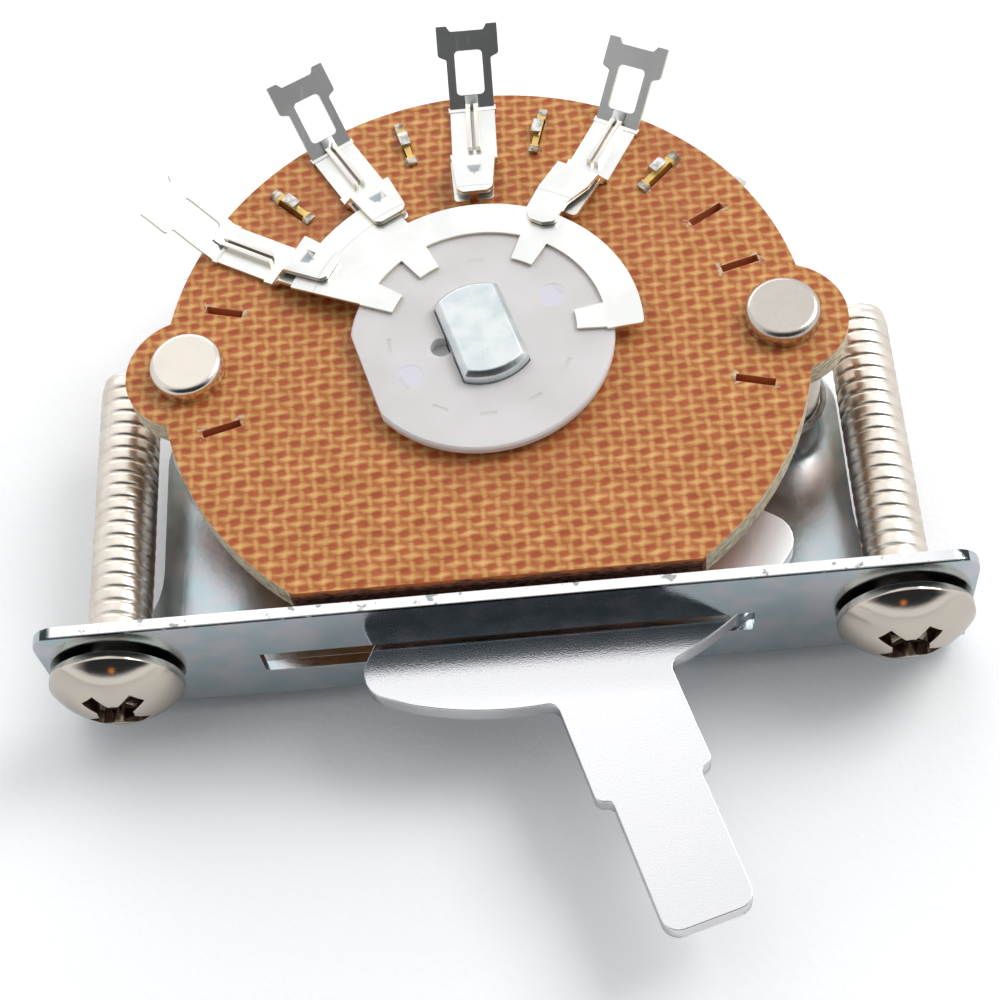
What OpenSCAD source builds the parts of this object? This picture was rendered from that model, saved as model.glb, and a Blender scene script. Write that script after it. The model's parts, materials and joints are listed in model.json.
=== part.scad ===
// Five-position blade selector switch for an electric guitar's pickups.
// It lies on its back: X runs along the mounting flange, Y from the flange's outer face into the
// switch, and Z out of the contact wafer. The origin is the centre of the lever slot on that face.

/* [Frame] */
// Length of the mounting flange
flange_len = 48.3; // [46.5:0.1:54]
// Flange edge above the slot's centre line
flange_rise = 4.95; // [4.2:0.05:7]
// Underside of the base plate below the slot's centre line
base_drop = 4.5; // [3.4:0.05:6]
// Thickness of the bent steel sheet
sheet_t = 0.6; // [0.5:0.1:1.1]
// Radius of the flange's two free corners
flange_corner = 1.4; // [0.5:0.1:3]
// Outside radius of the bend between flange and base plate
bend_r = 0.9; // [0.9:0.1:1.8]
// Full-length strip of the base plate beside the bend
base_strip = 3.0; // [2.2:0.1:4]
// Fillet from that strip to the narrower base plate
base_fillet = 5; // [4:0.5:6]
// Rear edge of the base plate behind the spindle axis
base_rear = 14; // [13:0.5:18]
// Width of the base plate's rear edge
base_rear_w = 17; // [12:1:22]
// Length of the lever slot
slot_len = 25.8; // [25.6:0.1:28]
// Height of the lever slot
slot_h = 1.95; // [1.8:0.05:2.4]

/* [Spindle] */
// Spindle axis behind the flange's outer face
spindle_y = 15; // [14.8:0.1:16]
// Across the round sides of the double-D spindle
spindle_d = 6.2; // [5.4:0.1:6.6]
// Across the flats of the double-D spindle
spindle_flat = 3.65; // [3:0.05:4.4]
// Spindle end above the rotor's face
spindle_proud = 0.8; // [0.5:0.05:2]
// Bevel round the spindle's end
spindle_bevel = 0.3; // [0.1:0.05:0.4]
// Diameter of the journal that turns in the base plate
journal_d = 4.8; // [4:0.1:5.2]
// Diameter of the collar that carries the lever
collar_d = 7.2; // [6.8:0.1:8.5]
// Thickness of the thrust washer
washer_t = 0.5; // [0.3:0.1:0.8]
// Thickness of the retaining ring below the base plate
clip_t = 0.35; // [0.3:0.05:0.5]

/* [Lever] */
// Thickness of the lever
lever_t = 1.2; // [1:0.1:1.4]
// Radius of the fan that fills the slot
fan_r = 19.1; // [18.8:0.05:19.1]
// Half of the fan's angle
fan_half = 41.5; // [36:0.5:44]
// Radius of the fan's two outer corners
fan_corner = 1.6; // [0.8:0.1:2.5]
// Width of the handle beside the fan
neck_w = 6.2; // [5:0.1:6.4]
// Distance from the spindle axis to the handle's shoulders
neck_r = 24.6; // [23:0.1:27]
// Width of the blade that takes a knob
blade_w = 4.7; // [4:0.1:4.9]
// Distance from the spindle axis to the handle's tip
handle_r = 32.2; // [30:0.1:36]
// Turn of the lever from its centre position, as modelled
rest_turn = 16.5; // [15:0.1:16.5]

/* [Detent] */
// Angle between neighbouring positions
step_angle = 15; // [14:0.5:15]
// Number of positions
positions = 5; // [3:2:5]
// Radius of the lever's notched tail
tail_r = 9.5; // [9.45:0.05:9.6]
// Radius of one detent notch
notch_r = 1.25; // [1.22:0.01:1.3]
// Diameter of the detent roller
roller_d = 1.9; // [1.8:0.02:1.92]
// Radius of the circle that the roller's axis is on when it sits in a notch
detent_r = 10; // [9.95:0.05:10.05]
// How far the roller is pushed out between two notches, as modelled
roller_lift = 0.5; // [0.45:0.05:0.8]
// Outside diameter of the spring's coil
spring_d = 1.7; // [1.4:0.1:1.8]
// Diameter of the spring wire
wire_d = 0.4; // [0.3:0.05:0.5]
// Pitch of the stretched coil
spring_pitch = 1; // [0.8:0.1:1.6]

/* [Wafer and rotor] */
// Wafer's face above the slot's centre line
wafer_top = 5.6; // [5.2:0.1:9]
// Thickness of the wafer
wafer_t = 1.6; // [1.2:0.1:2]
// Radius of the wafer
wafer_r = 17.45; // [17.2:0.05:18]
// Distance from the spindle axis to the wafer's straight edge
wafer_cut = 14.05; // [12:0.05:14.1]
// Radius of the ears round the rivets
ear_r = 3.5; // [3.2:0.1:4]
// Radius of the rotor's rim on the wafer
rotor_r = 7.1; // [7:0.05:7.6]
// Radius of the rotor's hub in the wafer
hub_r = 6.4; // [6.2:0.05:6.6]
// Rotor's face above the wafer, on both sides
rotor_rise = 0.95; // [0.7:0.05:1]
// Distance from the spindle axis to the flat on the rotor's rim
rotor_flat = 6.5; // [6.45:0.05:6.8]

/* [Contact rings] */
// Thickness of the contact rings
ring_t = 0.2; // [0.15:0.05:0.3]
// Inner radius of a contact ring
ring_inner_r = 6.7; // [6.3:0.05:6.8]
// Outer radius of a contact ring's narrow part
ring_outer_r = 8.65; // [8.3:0.05:9]
// Outer radius of a contact ring's wide part
ring_wide_r = 11.1; // [10.4:0.05:11.3]
// Inner radius of the tabs that key a ring to the rotor
tab_in_r = 5.1; // [4.4:0.1:5.6]

/* [Terminals] */
// Thickness of the terminal sheet
term_t = 0.28; // [0.2:0.02:0.3]
// Width of a terminal on the wafer
term_w = 2.55; // [2:0.05:2.8]
// Offset of a terminal's strip and lug from its leg
strip_shift = 0.13; // [0:0.01:0.2]
// Radius where a terminal bends away from the wafer
term_bend_r = 16.4; // [16:0.1:17]
// Radius of a terminal's inner end on the wafer
term_in_r = 12.45; // [12.2:0.05:12.7]
// Radius where the upper jaw's riser ends
jaw_fold_r = 11.75; // [11.6:0.05:11.9]
// Angle of the soldering lug to the wafer
lug_angle = 38; // [10:1:60]
// Length of the soldering lug past its bend
lug_len = 4.85; // [4.5:0.05:6]
// Width of the soldering lug's head
lug_w = 3.5; // [3:0.1:4.2]
// Length of the window in the lug
window_len = 2.5; // [1.6:0.1:2.8]
// Width of the window in the lug
window_w = 1.6; // [1:0.05:1.7]
// Radius that a selected terminal's jaws reach in to
jaw_short = 9.35; // [9.2:0.05:10]
// Radius that a common terminal's upper jaw reaches in to
jaw_long = 7.65; // [7.6:0.05:8.2]
// Radius that each lower jaw reaches in to
jaw_low = 9.15; // [9:0.05:9.6]
// Inner radius of the wafer's slots for terminals
slot_in_r = 13.6; // [13.3:0.1:14]
// Outer radius of the wafer's slots for terminals
slot_out_r = 15.7; // [15.2:0.1:15.9]
// Width of the wafer's slots for terminals
slot_w = 0.45; // [0.4:0.05:0.6]

/* [Rivets and standoffs] */
// Gap between a standoff and the mounting screw beside it
standoff_gap = 0.65; // [0.5:0.05:1]
// Diameter of a rivet's shank
rivet_d = 2.2; // [1.8:0.1:2.6]
// Diameter of a rivet's head
rivet_head_d = 4; // [3.4:0.1:4.4]
// Height of a rivet's head
rivet_head_h = 1.1; // [0.6:0.1:1.2]
// Height of a rivet's rolled tail below the base plate
rivet_tail_h = 0.95; // [0.8:0.05:1.2]
// Outside diameter of a standoff
standoff_d = 4.6; // [4:0.1:5.2]

/* [Mounting screws] */
// Distance from the flange's end to the mounting screw's axis
screw_inset = 3.5; // [3:0.05:3.8]
// Diameter of a mounting screw's shank
screw_d = 3.4; // [3:0.1:3.5]
// Length of a mounting screw under its head
screw_len = 18.6; // [12:0.1:25]
// Diameter of a mounting screw's head
screw_head_d = 7.1; // [6:0.1:7.4]
// Height of the straight rim of a screw's head
screw_rim = 0.45; // [0.3:0.05:0.8]
// Height of the dome on a screw's head
screw_dome = 1.65; // [1.2:0.05:2]
// Gap between the flange and a screw's head
screw_gap = 0.3; // [0.1:0.1:3]

/* [Clearances] */
// Radial clearance of a shaft in its hole
run_clear = 0.05; // [0.03:0.01:0.08]
// Clearance between parallel faces that slide
face_clear = 0.05; // [0.03:0.01:0.06]

/* [Hidden] */

round_fn = 64;
bite = 0.05;

// Places along X
screw_x = flange_len / 2 - screw_inset;
rivet_x = screw_x - screw_d / 2 - standoff_gap - standoff_d / 2;
base_half_w = rivet_x + ear_r - 0.1;

// Levels along Z
base_bottom = -base_drop;
base_top = base_bottom + sheet_t;
lever_bottom = -lever_t / 2;
wafer_bottom = wafer_top - wafer_t;
wafer_mid = wafer_top - wafer_t / 2;
rotor_top = wafer_top + rotor_rise;
rotor_bottom = wafer_bottom - rotor_rise;
spindle_top = rotor_top + spindle_proud;
collar_bottom = base_top + washer_t + face_clear;
clip_top = base_bottom - face_clear;
journal_end = clip_top - clip_t - 0.3;

// Wafer angles round the spindle, counted from +X
front_angles = [150, 120, 90, 60];
back_angles = [135, 105, 75, 45];
spare_angles = [30, 15, -15, 165, 195];

// Contact ring, in the rotor's own angles: start, end, where the wide part starts, and the tabs
ring_start = -18.3;
ring_slant = 2;
ring_end = 141.2;
wide_start = 99;
tab_angles = [-12.6, 45.5, 104.8, 134.8];
tab_half = 6.8;
back_ring_lag = 15;

// Rotor details: the rim's taper and rounding, the key notch, the spare slots and the ejector marks
rim_taper = 0.3;
rim_round = 0.12;
key_notch = [-2.24, 0.1];
key_notch_r = 0.6;
key_notch_depth = 0.7;
spare_slot = [0.22, 0.9, 0.15];
spare_tab_angles = [-45, -75, -105, -135, 165];
ejector_angles = [13, 193];
ejector_r = 4.5;
ejector_d = 1.45;
ejector_depth = 0.03;

// Terminal details: the lug's head, notch and window, the ridge along the strip, the lower jaw's fork,
// the shoulders beside the bend, the upper jaw's dent, and the leg's bar and end tabs
lug_head = 1.8;
lug_horn = 0.6;
lug_notch = 0.32;
window_at = 0.92;
ridge_w = 0.72;
ridge_t = 0.27;
ridge_h = 0.35;
ridge_in_r = slot_in_r - 0.4;
fork_w = 0.5;
shoulder = 0.08;
shoulder_len = 0.36;
dent = [0.6, 0.9, 0.26];
dent_in = 0.75;
leg_bar_w = 0.56;
leg_bar_h = 0.55;
leg_tab_w = 0.5;
leg_tab_out = 0.65;
leg_tab_in = 0.45;
bar_shifts = [-0.2, 0, 0.22, 0.3];

// Detent
travel = step_angle * (positions - 1) / 2;
tail_half = travel + step_angle / 2;
roller_arm = [rivet_x, detent_r + roller_lift];
roller_y = spindle_y + roller_arm.y;
guide_spare = 0.1;
coil_r = (spring_d - wire_d) / 2;
spring_z = (base_top + lever_bottom) / 2;
wrap_r = (roller_d + spring_d) / 2 + face_clear;
line_angle = atan2(roller_arm.y, roller_arm.x) + asin(wrap_r / norm(roller_arm));
line_len = sqrt(roller_arm * roller_arm - wrap_r * wrap_r);
wrap_len = 2 * line_angle * PI / 180 * wrap_r;
hook_r = standoff_d / 2 + wire_d / 2 + face_clear;
coil_start = hook_r + wire_d + 0.3;
coil_len = 2 * (line_len - coil_start) + wrap_len;
coil_steps = 8;

// Cross recess of the mounting screws, and the chamfer at their ends
recess_w = 0.95;
recess_depth = 1.2;
recess_turn = 4;
screw_chamfer = 0.4;

function unit(v) = v / norm(v);
function polar(r, a) = [r * cos(a), r * sin(a)];
function arc(r, a0, a1, n, c = [0, 0]) = [for (i = [0:n]) c + polar(r, a0 + (a1 - a0) * i / n)];
function corner_arc(a, b, c, r, n = 6) =
    let (
        u = unit(a - b),
        v = unit(c - b),
        half = acos(u * v) / 2,
        mid = b + unit(u + v) * r / sin(half),
        start = b + u * r / tan(half) - mid,
        end = b + v * r / tan(half) - mid,
        a0 = atan2(start.y, start.x),
        turn = (atan2(end.y, end.x) - a0 + 540) % 360 - 180
    )
    arc(r, a0, a0 + turn, n, mid);
// Outline through corners given as x, y and radius
function rounded(p) = [
    for (i = [0:len(p) - 1])
        let (a = p[(i + len(p) - 1) % len(p)], b = p[i], c = p[(i + 1) % len(p)])
        each (b.z > 0 ? corner_arc([a.x, a.y], [b.x, b.y], [c.x, c.y], b.z) : [[b.x, b.y]])
];
function flipped(p) = [for (i = [len(p) - 1:-1:0]) [-p[i].x, p[i].y, p[i].z]];

module at_spindle() { translate([0, spindle_y, 0]) children(); }
module turned() { at_spindle() rotate(rest_turn) children(); }
module slab(z0, z1) { translate([0, 0, z0]) linear_extrude(z1 - z0) children(); }
module disc(d, z0, z1) { translate([0, 0, z0]) cylinder(d = d, h = z1 - z0, $fn = round_fn); }

module double_d(clear = 0) {
    intersection() {
        circle(d = spindle_d + 2 * clear, $fn = round_fn);
        square([spindle_flat + 2 * clear, spindle_d + 1], center = true);
    }
}

// Bent sheet: flange, bend and base plate

module flange_outline() {
    half = flange_len / 2;
    low = base_bottom + bend_r;
    polygon(rounded([
        [-half, low, 0], [half, low, 0],
        [half, flange_rise, flange_corner], [-half, flange_rise, flange_corner]
    ]));
}

module base_outline() {
    half = flange_len / 2;
    fillet_x = base_half_w + base_fillet;
    fillet_y = base_strip + base_fillet;
    fillet_end = 180 + acos((fillet_x - half) / base_fillet);
    side = arc(base_fillet, fillet_end, 180, 10, [fillet_x, fillet_y]);
    rear_y = spindle_y + base_rear;
    right = concat(
        [[half, bend_r, 0]],
        [for (p = side) [p.x, p.y, 0]],
        [[base_half_w, spindle_y + 0.4 * ear_r, ear_r - 0.1], [base_rear_w / 2, rear_y, 2.5]]
    );
    polygon(rounded(concat(right, flipped(right))));
}

module bend() {
    translate([-flange_len / 2, 0, 0])
        rotate([90, 0, 90])
            linear_extrude(flange_len)
                polygon(concat(
                    arc(bend_r, 180, 270, 10, [bend_r, base_bottom + bend_r]),
                    arc(bend_r - sheet_t, 270, 180, 10, [bend_r, base_bottom + bend_r])
                ));
}

module frame() {
    color([0.72, 0.78, 0.82])
    difference() {
        union() {
            translate([0, sheet_t, 0]) rotate([90, 0, 0]) linear_extrude(sheet_t) flange_outline();
            bend();
            slab(base_bottom, base_top) base_outline();
        }
        translate([0, sheet_t / 2, 0]) cube([slot_len, sheet_t + 2 * bite, slot_h], center = true);
        for (side = [-1, 1]) {
            translate([side * screw_x, -bite, 0])
                rotate([-90, 0, 0]) cylinder(d = screw_d + 2 * run_clear, h = sheet_t + 2 * bite, $fn = 48);
            translate([side * rivet_x, spindle_y, 0])
                disc(rivet_d + 2 * run_clear, base_bottom - bite, base_top + bite);
        }
        at_spindle() disc(journal_d + 2 * run_clear, base_bottom - bite, base_top + bite);
        slab(base_bottom - bite, base_top + bite) roller_guide();
    }
}

// The slot in the base plate that the roller slides in
module roller_guide() {
    w = roller_d + 2 * run_clear;
    inner = roller_y - roller_lift - guide_spare;
    outer = roller_y + guide_spare;
    translate([-w / 2, inner]) square([w, outer - inner]);
    for (y = [inner, outer])
        translate([0, y]) circle(d = w, $fn = 40);
}

// Spindle and lever

module spindle() {
    color([0.78, 0.81, 0.83])
    turned() {
        difference() {
            disc(journal_d, journal_end, collar_bottom + bite);
            difference() {
                disc(journal_d + 1, clip_top - clip_t - face_clear, clip_top + face_clear / 2);
                disc(journal_d - 1.2, clip_top - clip_t - 1, clip_top + 1);
            }
        }
        disc(collar_d, collar_bottom, lever_bottom);
        intersection() {
            slab(lever_bottom - bite, spindle_top) double_d();
            rotate([90, 0, 0])
                translate([0, 0, -spindle_d])
                    linear_extrude(2 * spindle_d) bevelled(spindle_flat / 2, spindle_top);
            rotate_extrude($fn = round_fn)
                intersection() {
                    bevelled(spindle_d / 2, spindle_top);
                    translate([0, -50]) square([50, 100]);
                }
        }
    }
}

// Section of a bar of half-width w with a bevelled top at z
module bevelled(w, z) {
    polygon([
        [-w, -10], [w, -10], [w, z - spindle_bevel],
        [w - spindle_bevel, z], [spindle_bevel - w, z], [-w, z - spindle_bevel]
    ]);
}

module lever_outline() {
    neck = neck_w / 2;
    blade = blade_w / 2;
    join = sqrt(fan_r * fan_r - neck * neck);
    join_angle = asin(neck / fan_r);
    // The arc starts at the first of these angles and ends where the corner's curve begins
    a0 = -90 + join_angle + 2;
    a1 = -90 + fan_half - 2 * asin(fan_corner / fan_r);
    edge = polar(fan_r, -90 + fan_half);
    right = concat(
        [[blade, -handle_r, 0.9], [blade, -neck_r - 0.3, 0.3], [neck, -neck_r, 0.5], [neck, -join, 0.6]],
        [for (p = arc(fan_r, a0, a1, 14)) [p.x, p.y, 0]],
        [[edge.x, edge.y, fan_corner], [0, 0, 0]]
    );
    polygon(rounded(concat(right, flipped([for (i = [0:len(right) - 2]) right[i]]))));
    circle(r = collar_d / 2 + 2.4, $fn = round_fn);
    difference() {
        polygon(concat([[0, 0]], arc(tail_r, 90 - tail_half, 90 + tail_half, 30)));
        for (i = [0:positions - 1])
            translate(polar(detent_r, 90 - travel + i * step_angle)) circle(r = notch_r, $fn = 48);
    }
}

module lever() {
    color([0.84, 0.86, 0.88])
    turned()
        slab(lever_bottom, lever_bottom + lever_t)
            difference() {
                lever_outline();
                double_d(face_clear / 5);
            }
}

module thrust_washer() {
    color([0.75, 0.77, 0.78])
    at_spindle()
        slab(base_top, base_top + washer_t)
            difference() {
                circle(d = collar_d + 1.4, $fn = round_fn);
                circle(d = journal_d + 2 * run_clear, $fn = round_fn);
            }
}

// Open ring snapped into the groove at the spindle's end
module retaining_ring() {
    inner_d = journal_d - 1.2 + 2 * run_clear;
    color([0.45, 0.47, 0.5])
    turned()
        slab(clip_top - clip_t, clip_top)
            difference() {
                circle(d = journal_d + 2.2, $fn = round_fn);
                circle(d = inner_d, $fn = round_fn);
                translate([-inner_d * 0.36, 0]) square([inner_d * 0.72, journal_d]);
                for (a = [-30, 210]) translate(polar(inner_d / 2, a)) circle(d = 1.1, $fn = 24);
            }
}

// Detent roller and its spring

module detent_roller() {
    color([0.7, 0.71, 0.72])
    translate([0, roller_y, 0]) {
        disc(roller_d, base_bottom + 0.1, -lever_bottom + 0.3);
        disc(roller_d + 1.1, base_top + face_clear, base_top + face_clear + 0.15);
    }
}

// Point and direction on the coil's centre line, at a distance from the left rivet
function coil_axis(s) =
    s < line_len ? [polar(s, line_angle) - [rivet_x, 0], line_angle] :
    s < line_len + wrap_len ?
        let (a = 90 + line_angle - (s - line_len) / wrap_r * 180 / PI)
        [[0, roller_arm.y] + polar(wrap_r, a), a - 90] :
    let (p = polar(2 * line_len + wrap_len - s, line_angle))
    [[rivet_x - p.x, p.y], -line_angle];

function coil_point(s) =
    let (axis = coil_axis(s), side = polar(coil_r, axis[1] + 90), a = 360 * (s - coil_start) / spring_pitch)
    [axis[0].x + side.x * cos(a), axis[0].y + side.y * cos(a), coil_r * sin(a)];

// The hook round the left standoff, which ends beside the coil
hook = [
    for (i = [0:14])
        let (p = polar(hook_r, line_angle - 300 + 265 * i / 14)) [p.x - rivet_x, p.y, 0]
];

function spring_path() =
    let (turns = round(coil_len / spring_pitch), n = turns * coil_steps)
    concat(
        hook,
        [for (i = [0:n]) coil_point(coil_start + coil_len * i / n)],
        [for (i = [len(hook) - 1:-1:0]) [-hook[i].x, hook[i].y, 0]]
    );

// A wire along a path, with its section carried along without twist
module wire(path, d, sides) {
    last = len(path) - 1;
    along = [for (i = [0:last]) unit(path[min(i + 1, last)] - path[max(i - 1, 0)])];
    across = [
        for (i = 0, v = unit(cross(along[0], [0, 0, 1])); i <= last;
             i = i + 1, v = i <= last ? unit(v - (v * along[i]) * along[i]) : v) v
    ];
    points = [
        for (i = [0:last], k = [0:sides - 1])
            path[i] + d / 2 * (cos(360 * k / sides) * across[i]
                + sin(360 * k / sides) * cross(along[i], across[i]))
    ];
    walls = [
        for (i = [0:last - 1], k = [0:sides - 1])
            let (a = i * sides + k, b = i * sides + (k + 1) % sides)
            each [[a, a + sides, b], [b, a + sides, b + sides]]
    ];
    polyhedron(points, concat(
        walls,
        [[for (k = [0:sides - 1]) k]],
        [[for (k = [sides - 1:-1:0]) last * sides + k]]
    ));
}

module detent_spring() {
    color([0.66, 0.67, 0.68])
    translate([0, spindle_y, spring_z]) wire(spring_path(), wire_d, 5);
}

// Wafer, standoffs and rivets

module wafer() {
    color([0.78, 0.46, 0.24])
    at_spindle()
        slab(wafer_bottom, wafer_top)
            difference() {
                union() {
                    intersection() {
                        circle(r = wafer_r, $fn = 128);
                        translate([-wafer_r, -wafer_cut]) square(2 * wafer_r);
                    }
                    for (side = [-1, 1]) translate([side * rivet_x, 0]) circle(r = ear_r, $fn = 64);
                }
                for (side = [-1, 1])
                    translate([side * rivet_x, 0]) circle(d = rivet_d + 2 * run_clear, $fn = 48);
                circle(r = hub_r + run_clear, $fn = 96);
                for (a = concat(front_angles, back_angles, spare_angles))
                    rotate(a) translate([slot_in_r, -slot_w / 2]) square([slot_out_r - slot_in_r, slot_w]);
            }
}

module standoff(side) {
    color([0.74, 0.75, 0.76])
    translate([side * rivet_x, spindle_y, 0])
        difference() {
            disc(standoff_d, base_top, wafer_bottom);
            disc(rivet_d + 2 * run_clear, base_top - bite, wafer_bottom + bite);
        }
}

// Flat head with a rounded edge, as a revolved profile from z = 0 up
module button(d, h, edge) {
    rotate_extrude($fn = round_fn)
        polygon(concat([[0, 0], [d / 2, 0]], arc(edge, 0, 90, 6, [d / 2 - edge, h - edge]), [[0, h]]));
}

module rivet(side) {
    color([0.78, 0.75, 0.71])
    translate([side * rivet_x, spindle_y, 0]) {
        translate([0, 0, wafer_top]) button(rivet_head_d, rivet_head_h, 0.4);
        disc(rivet_d, base_bottom - bite, wafer_top + bite);
        translate([0, 0, base_bottom]) mirror([0, 0, 1])
            difference() {
                button(rivet_head_d - 0.2, rivet_tail_h, 0.45);
                translate([0, 0, rivet_tail_h - 0.35]) cylinder(d = 1.3, h = 1, $fn = 32);
            }
    }
}

// Rotor and contact rings

module rotor() {
    color([0.93, 0.94, 0.95])
    turned()
        difference() {
            union() {
                rotor_rim();
                disc(2 * hub_r, rotor_bottom, wafer_top + 2 * face_clear);
            }
            slab(rotor_bottom - bite, rotor_top + bite) double_d(run_clear);
            translate([key_notch.x, key_notch.y, rotor_top - key_notch_depth])
                cylinder(r = key_notch_r, h = 1, $fn = 40);
            for (a = spare_tab_angles)
                rotate(a)
                    translate([tab_in_r - spare_slot.x, -spare_slot.y / 2, rotor_top - spare_slot.z])
                        cube([spare_slot.x, spare_slot.y, 1]);
            for (a = ejector_angles)
                rotate(a)
                    translate([ejector_r, 0, rotor_top - ejector_depth])
                        cylinder(d = ejector_d, h = 1, $fn = 40);
        }
}

// The rotor's rim on the wafer, which narrows towards it and has one flat
module rotor_rim() {
    low = wafer_top + face_clear;
    difference() {
        rotate_extrude($fn = 96)
            polygon([
                [0, low], [rotor_r - rim_taper, low], [rotor_r, (low + rotor_top) / 2],
                [rotor_r, rotor_top - rim_round], [rotor_r - rim_round, rotor_top], [0, rotor_top]
            ]);
        translate([-rotor_r - rotor_flat, -rotor_r, low - bite])
            cube([rotor_r, 2 * rotor_r, rotor_rise + 2 * bite]);
    }
}

module ring_outline() {
    start = polar(ring_inner_r, ring_start - ring_slant);
    corner = polar(ring_outer_r, ring_start);
    polygon(concat(
        corner_arc(start, corner, polar(ring_outer_r, ring_start + 3), 0.2),
        arc(ring_outer_r, ring_start + 3, wide_start, 40),
        arc(ring_wide_r, wide_start + 2, ring_end, 16),
        arc(ring_inner_r, ring_end, ring_start - ring_slant, 60)
    ));
    for (a = tab_angles)
        polygon(concat(
            arc(ring_inner_r + 0.3, a - tab_half, a + tab_half, 4),
            arc(tab_in_r, a + tab_half, a - tab_half, 4)
        ));
}

module front_contact_ring() {
    color([0.9, 0.9, 0.88])
    turned() slab(rotor_top, rotor_top + ring_t) ring_outline();
}

module back_contact_ring() {
    color([0.9, 0.9, 0.88])
    turned() rotate(-back_ring_lag) slab(rotor_bottom - ring_t, rotor_bottom) ring_outline();
}

// Terminals, drawn along +X with the wafer's face at z = 0

function mirrored(p) = [for (i = [len(p) - 1:-1:0]) [p[i].x, -p[i].y, p[i].z]];

// Strip of even thickness along a path
function band(path, t) =
    let (
        last = len(path) - 1,
        dir = [for (i = [0:last - 1]) unit(path[i + 1] - path[i])],
        side = [
            for (i = [0:last])
                let (a = dir[max(i - 1, 0)], m = unit(a + dir[min(i, last - 1)]))
                [-m.y, m.x] / (m * a) * t / 2
        ]
    )
    concat([for (i = [0:last]) path[i] + side[i]], [for (i = [last:-1:0]) path[i] - side[i]]);

// Sheet bent along a path of radius and height, cut to the children's outline
module bent_sheet(path) {
    intersection() {
        rotate([90, 0, 0])
            translate([0, 0, -lug_w]) linear_extrude(2 * lug_w) polygon(band(path, term_t));
        slab(-1, 3) children();
    }
}

module lug() {
    head_at = lug_len - lug_head;
    half = lug_w / 2;
    stem = term_w / 2;
    outline = [
        [0, stem, 0], [head_at - 0.1, stem, 0.15], [head_at + 0.1, half, 0.2], [lug_len, half, 0.05],
        [lug_len, half - lug_horn, 0.05], [lug_len - lug_notch, half - lug_horn - 0.2, 0.15]
    ];
    window_end = window_at + window_len;
    translate([term_bend_r, -strip_shift, 0])
        rotate([0, -lug_angle, 0]) {
            linear_extrude(term_t)
                difference() {
                    polygon(rounded(concat(outline, mirrored(outline))));
                    polygon(rounded([
                        [window_at, -window_w / 2, 0.25], [window_end, -window_w / 2, 0.25],
                        [window_end, window_w / 2, 0.25], [window_at, window_w / 2, 0.25]
                    ]));
                }
            translate([0, -ridge_w / 2, 0]) cube([window_at - 0.05, ridge_w, 1.4 * term_t]);
        }
}

module strip_outline() {
    translate([term_in_r, -term_w / 2 - strip_shift]) square([term_bend_r - term_in_r, term_w]);
}

// Upper jaw of a selected terminal, set off to one side by shift
module short_jaw_outline(shift) {
    half = term_w / 2;
    side = [
        [jaw_short, 0.55 * half, 0.3], [jaw_short + 0.25, 0.78 * half, 0.3], [jaw_fold_r, 0.96 * half, 0]
    ];
    tip = [for (p = concat(mirrored(side), side)) [p.x, p.y + shift, p.z]];
    polygon(rounded(concat(tip, [[term_in_r, half, 0], [term_in_r, -half, 0]])));
}

// Upper jaw of a common terminal, which steps in on one side
module long_jaw_outline() {
    half = term_w / 2;
    polygon(rounded([
        [term_in_r, -half, 0], [jaw_fold_r - 0.9, -0.82 * half, 0.6], [jaw_fold_r - 2.3, -0.36 * half, 0.8],
        [jaw_long + 0.35, -0.33 * half, 0.4], [jaw_long, 0.15 * half, 0.3], [jaw_long, 0.75 * half, 0.3],
        [jaw_long + 0.5, 1.12 * half, 0.5], [jaw_fold_r - 1.9, 1.16 * half, 0], [jaw_fold_r, half, 0],
        [term_in_r, half, 0]
    ]));
}

module low_jaw_outline() {
    half = term_w / 2;
    difference() {
        polygon(rounded([
            [term_in_r + 0.7, -half, 0], [jaw_low, -0.85 * half, 0.25], [jaw_low, 0.85 * half, 0.25],
            [term_in_r + 0.7, half, 0]
        ]));
        translate([jaw_low - 1, -fork_w / 2]) square([1.5, fork_w]);
    }
}

module terminal(shift, common, bar_shift) {
    flat_z = term_t / 2;
    high_z = rotor_rise + ring_t + face_clear + term_t / 2;
    low_z = rotor_rise - face_clear - term_t / 2;
    lug();
    // Shoulders where the lug bends up
    translate([term_bend_r - shoulder_len + 0.07, -strip_shift - term_w / 2 - shoulder, 0])
        cube([shoulder_len, term_w + 2 * shoulder, 1.1 * term_t]);
    // Folded ridge along the strip
    for (side = [-1, 1])
        translate([ridge_in_r, side * (ridge_w - ridge_t) / 2 - ridge_t / 2 - strip_shift, 0])
            cube([term_bend_r - ridge_in_r, ridge_t, term_t + ridge_h]);
    upper = [[term_bend_r, flat_z], [term_in_r, flat_z], [jaw_fold_r, high_z], [jaw_short - 2, high_z]];
    fold_r = term_in_r - 0.5;
    lower = [[term_in_r + 0.6, flat_z], [term_in_r, flat_z], [fold_r, low_z], [jaw_low - 1, low_z]];
    // Strip on the wafer with the jaw above the ring, then the jaw below it
    difference() {
        bent_sheet(upper) {
            strip_outline();
            if (common) long_jaw_outline(); else short_jaw_outline(shift);
        }
        if (!common)
            translate([jaw_fold_r - dent_in, shift, high_z + term_t / 2])
                rotate([0, -25, 0]) cube(dent, center = true);
    }
    bent_sheet(lower) low_jaw_outline();
    staple(bar_shift);
}

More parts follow.
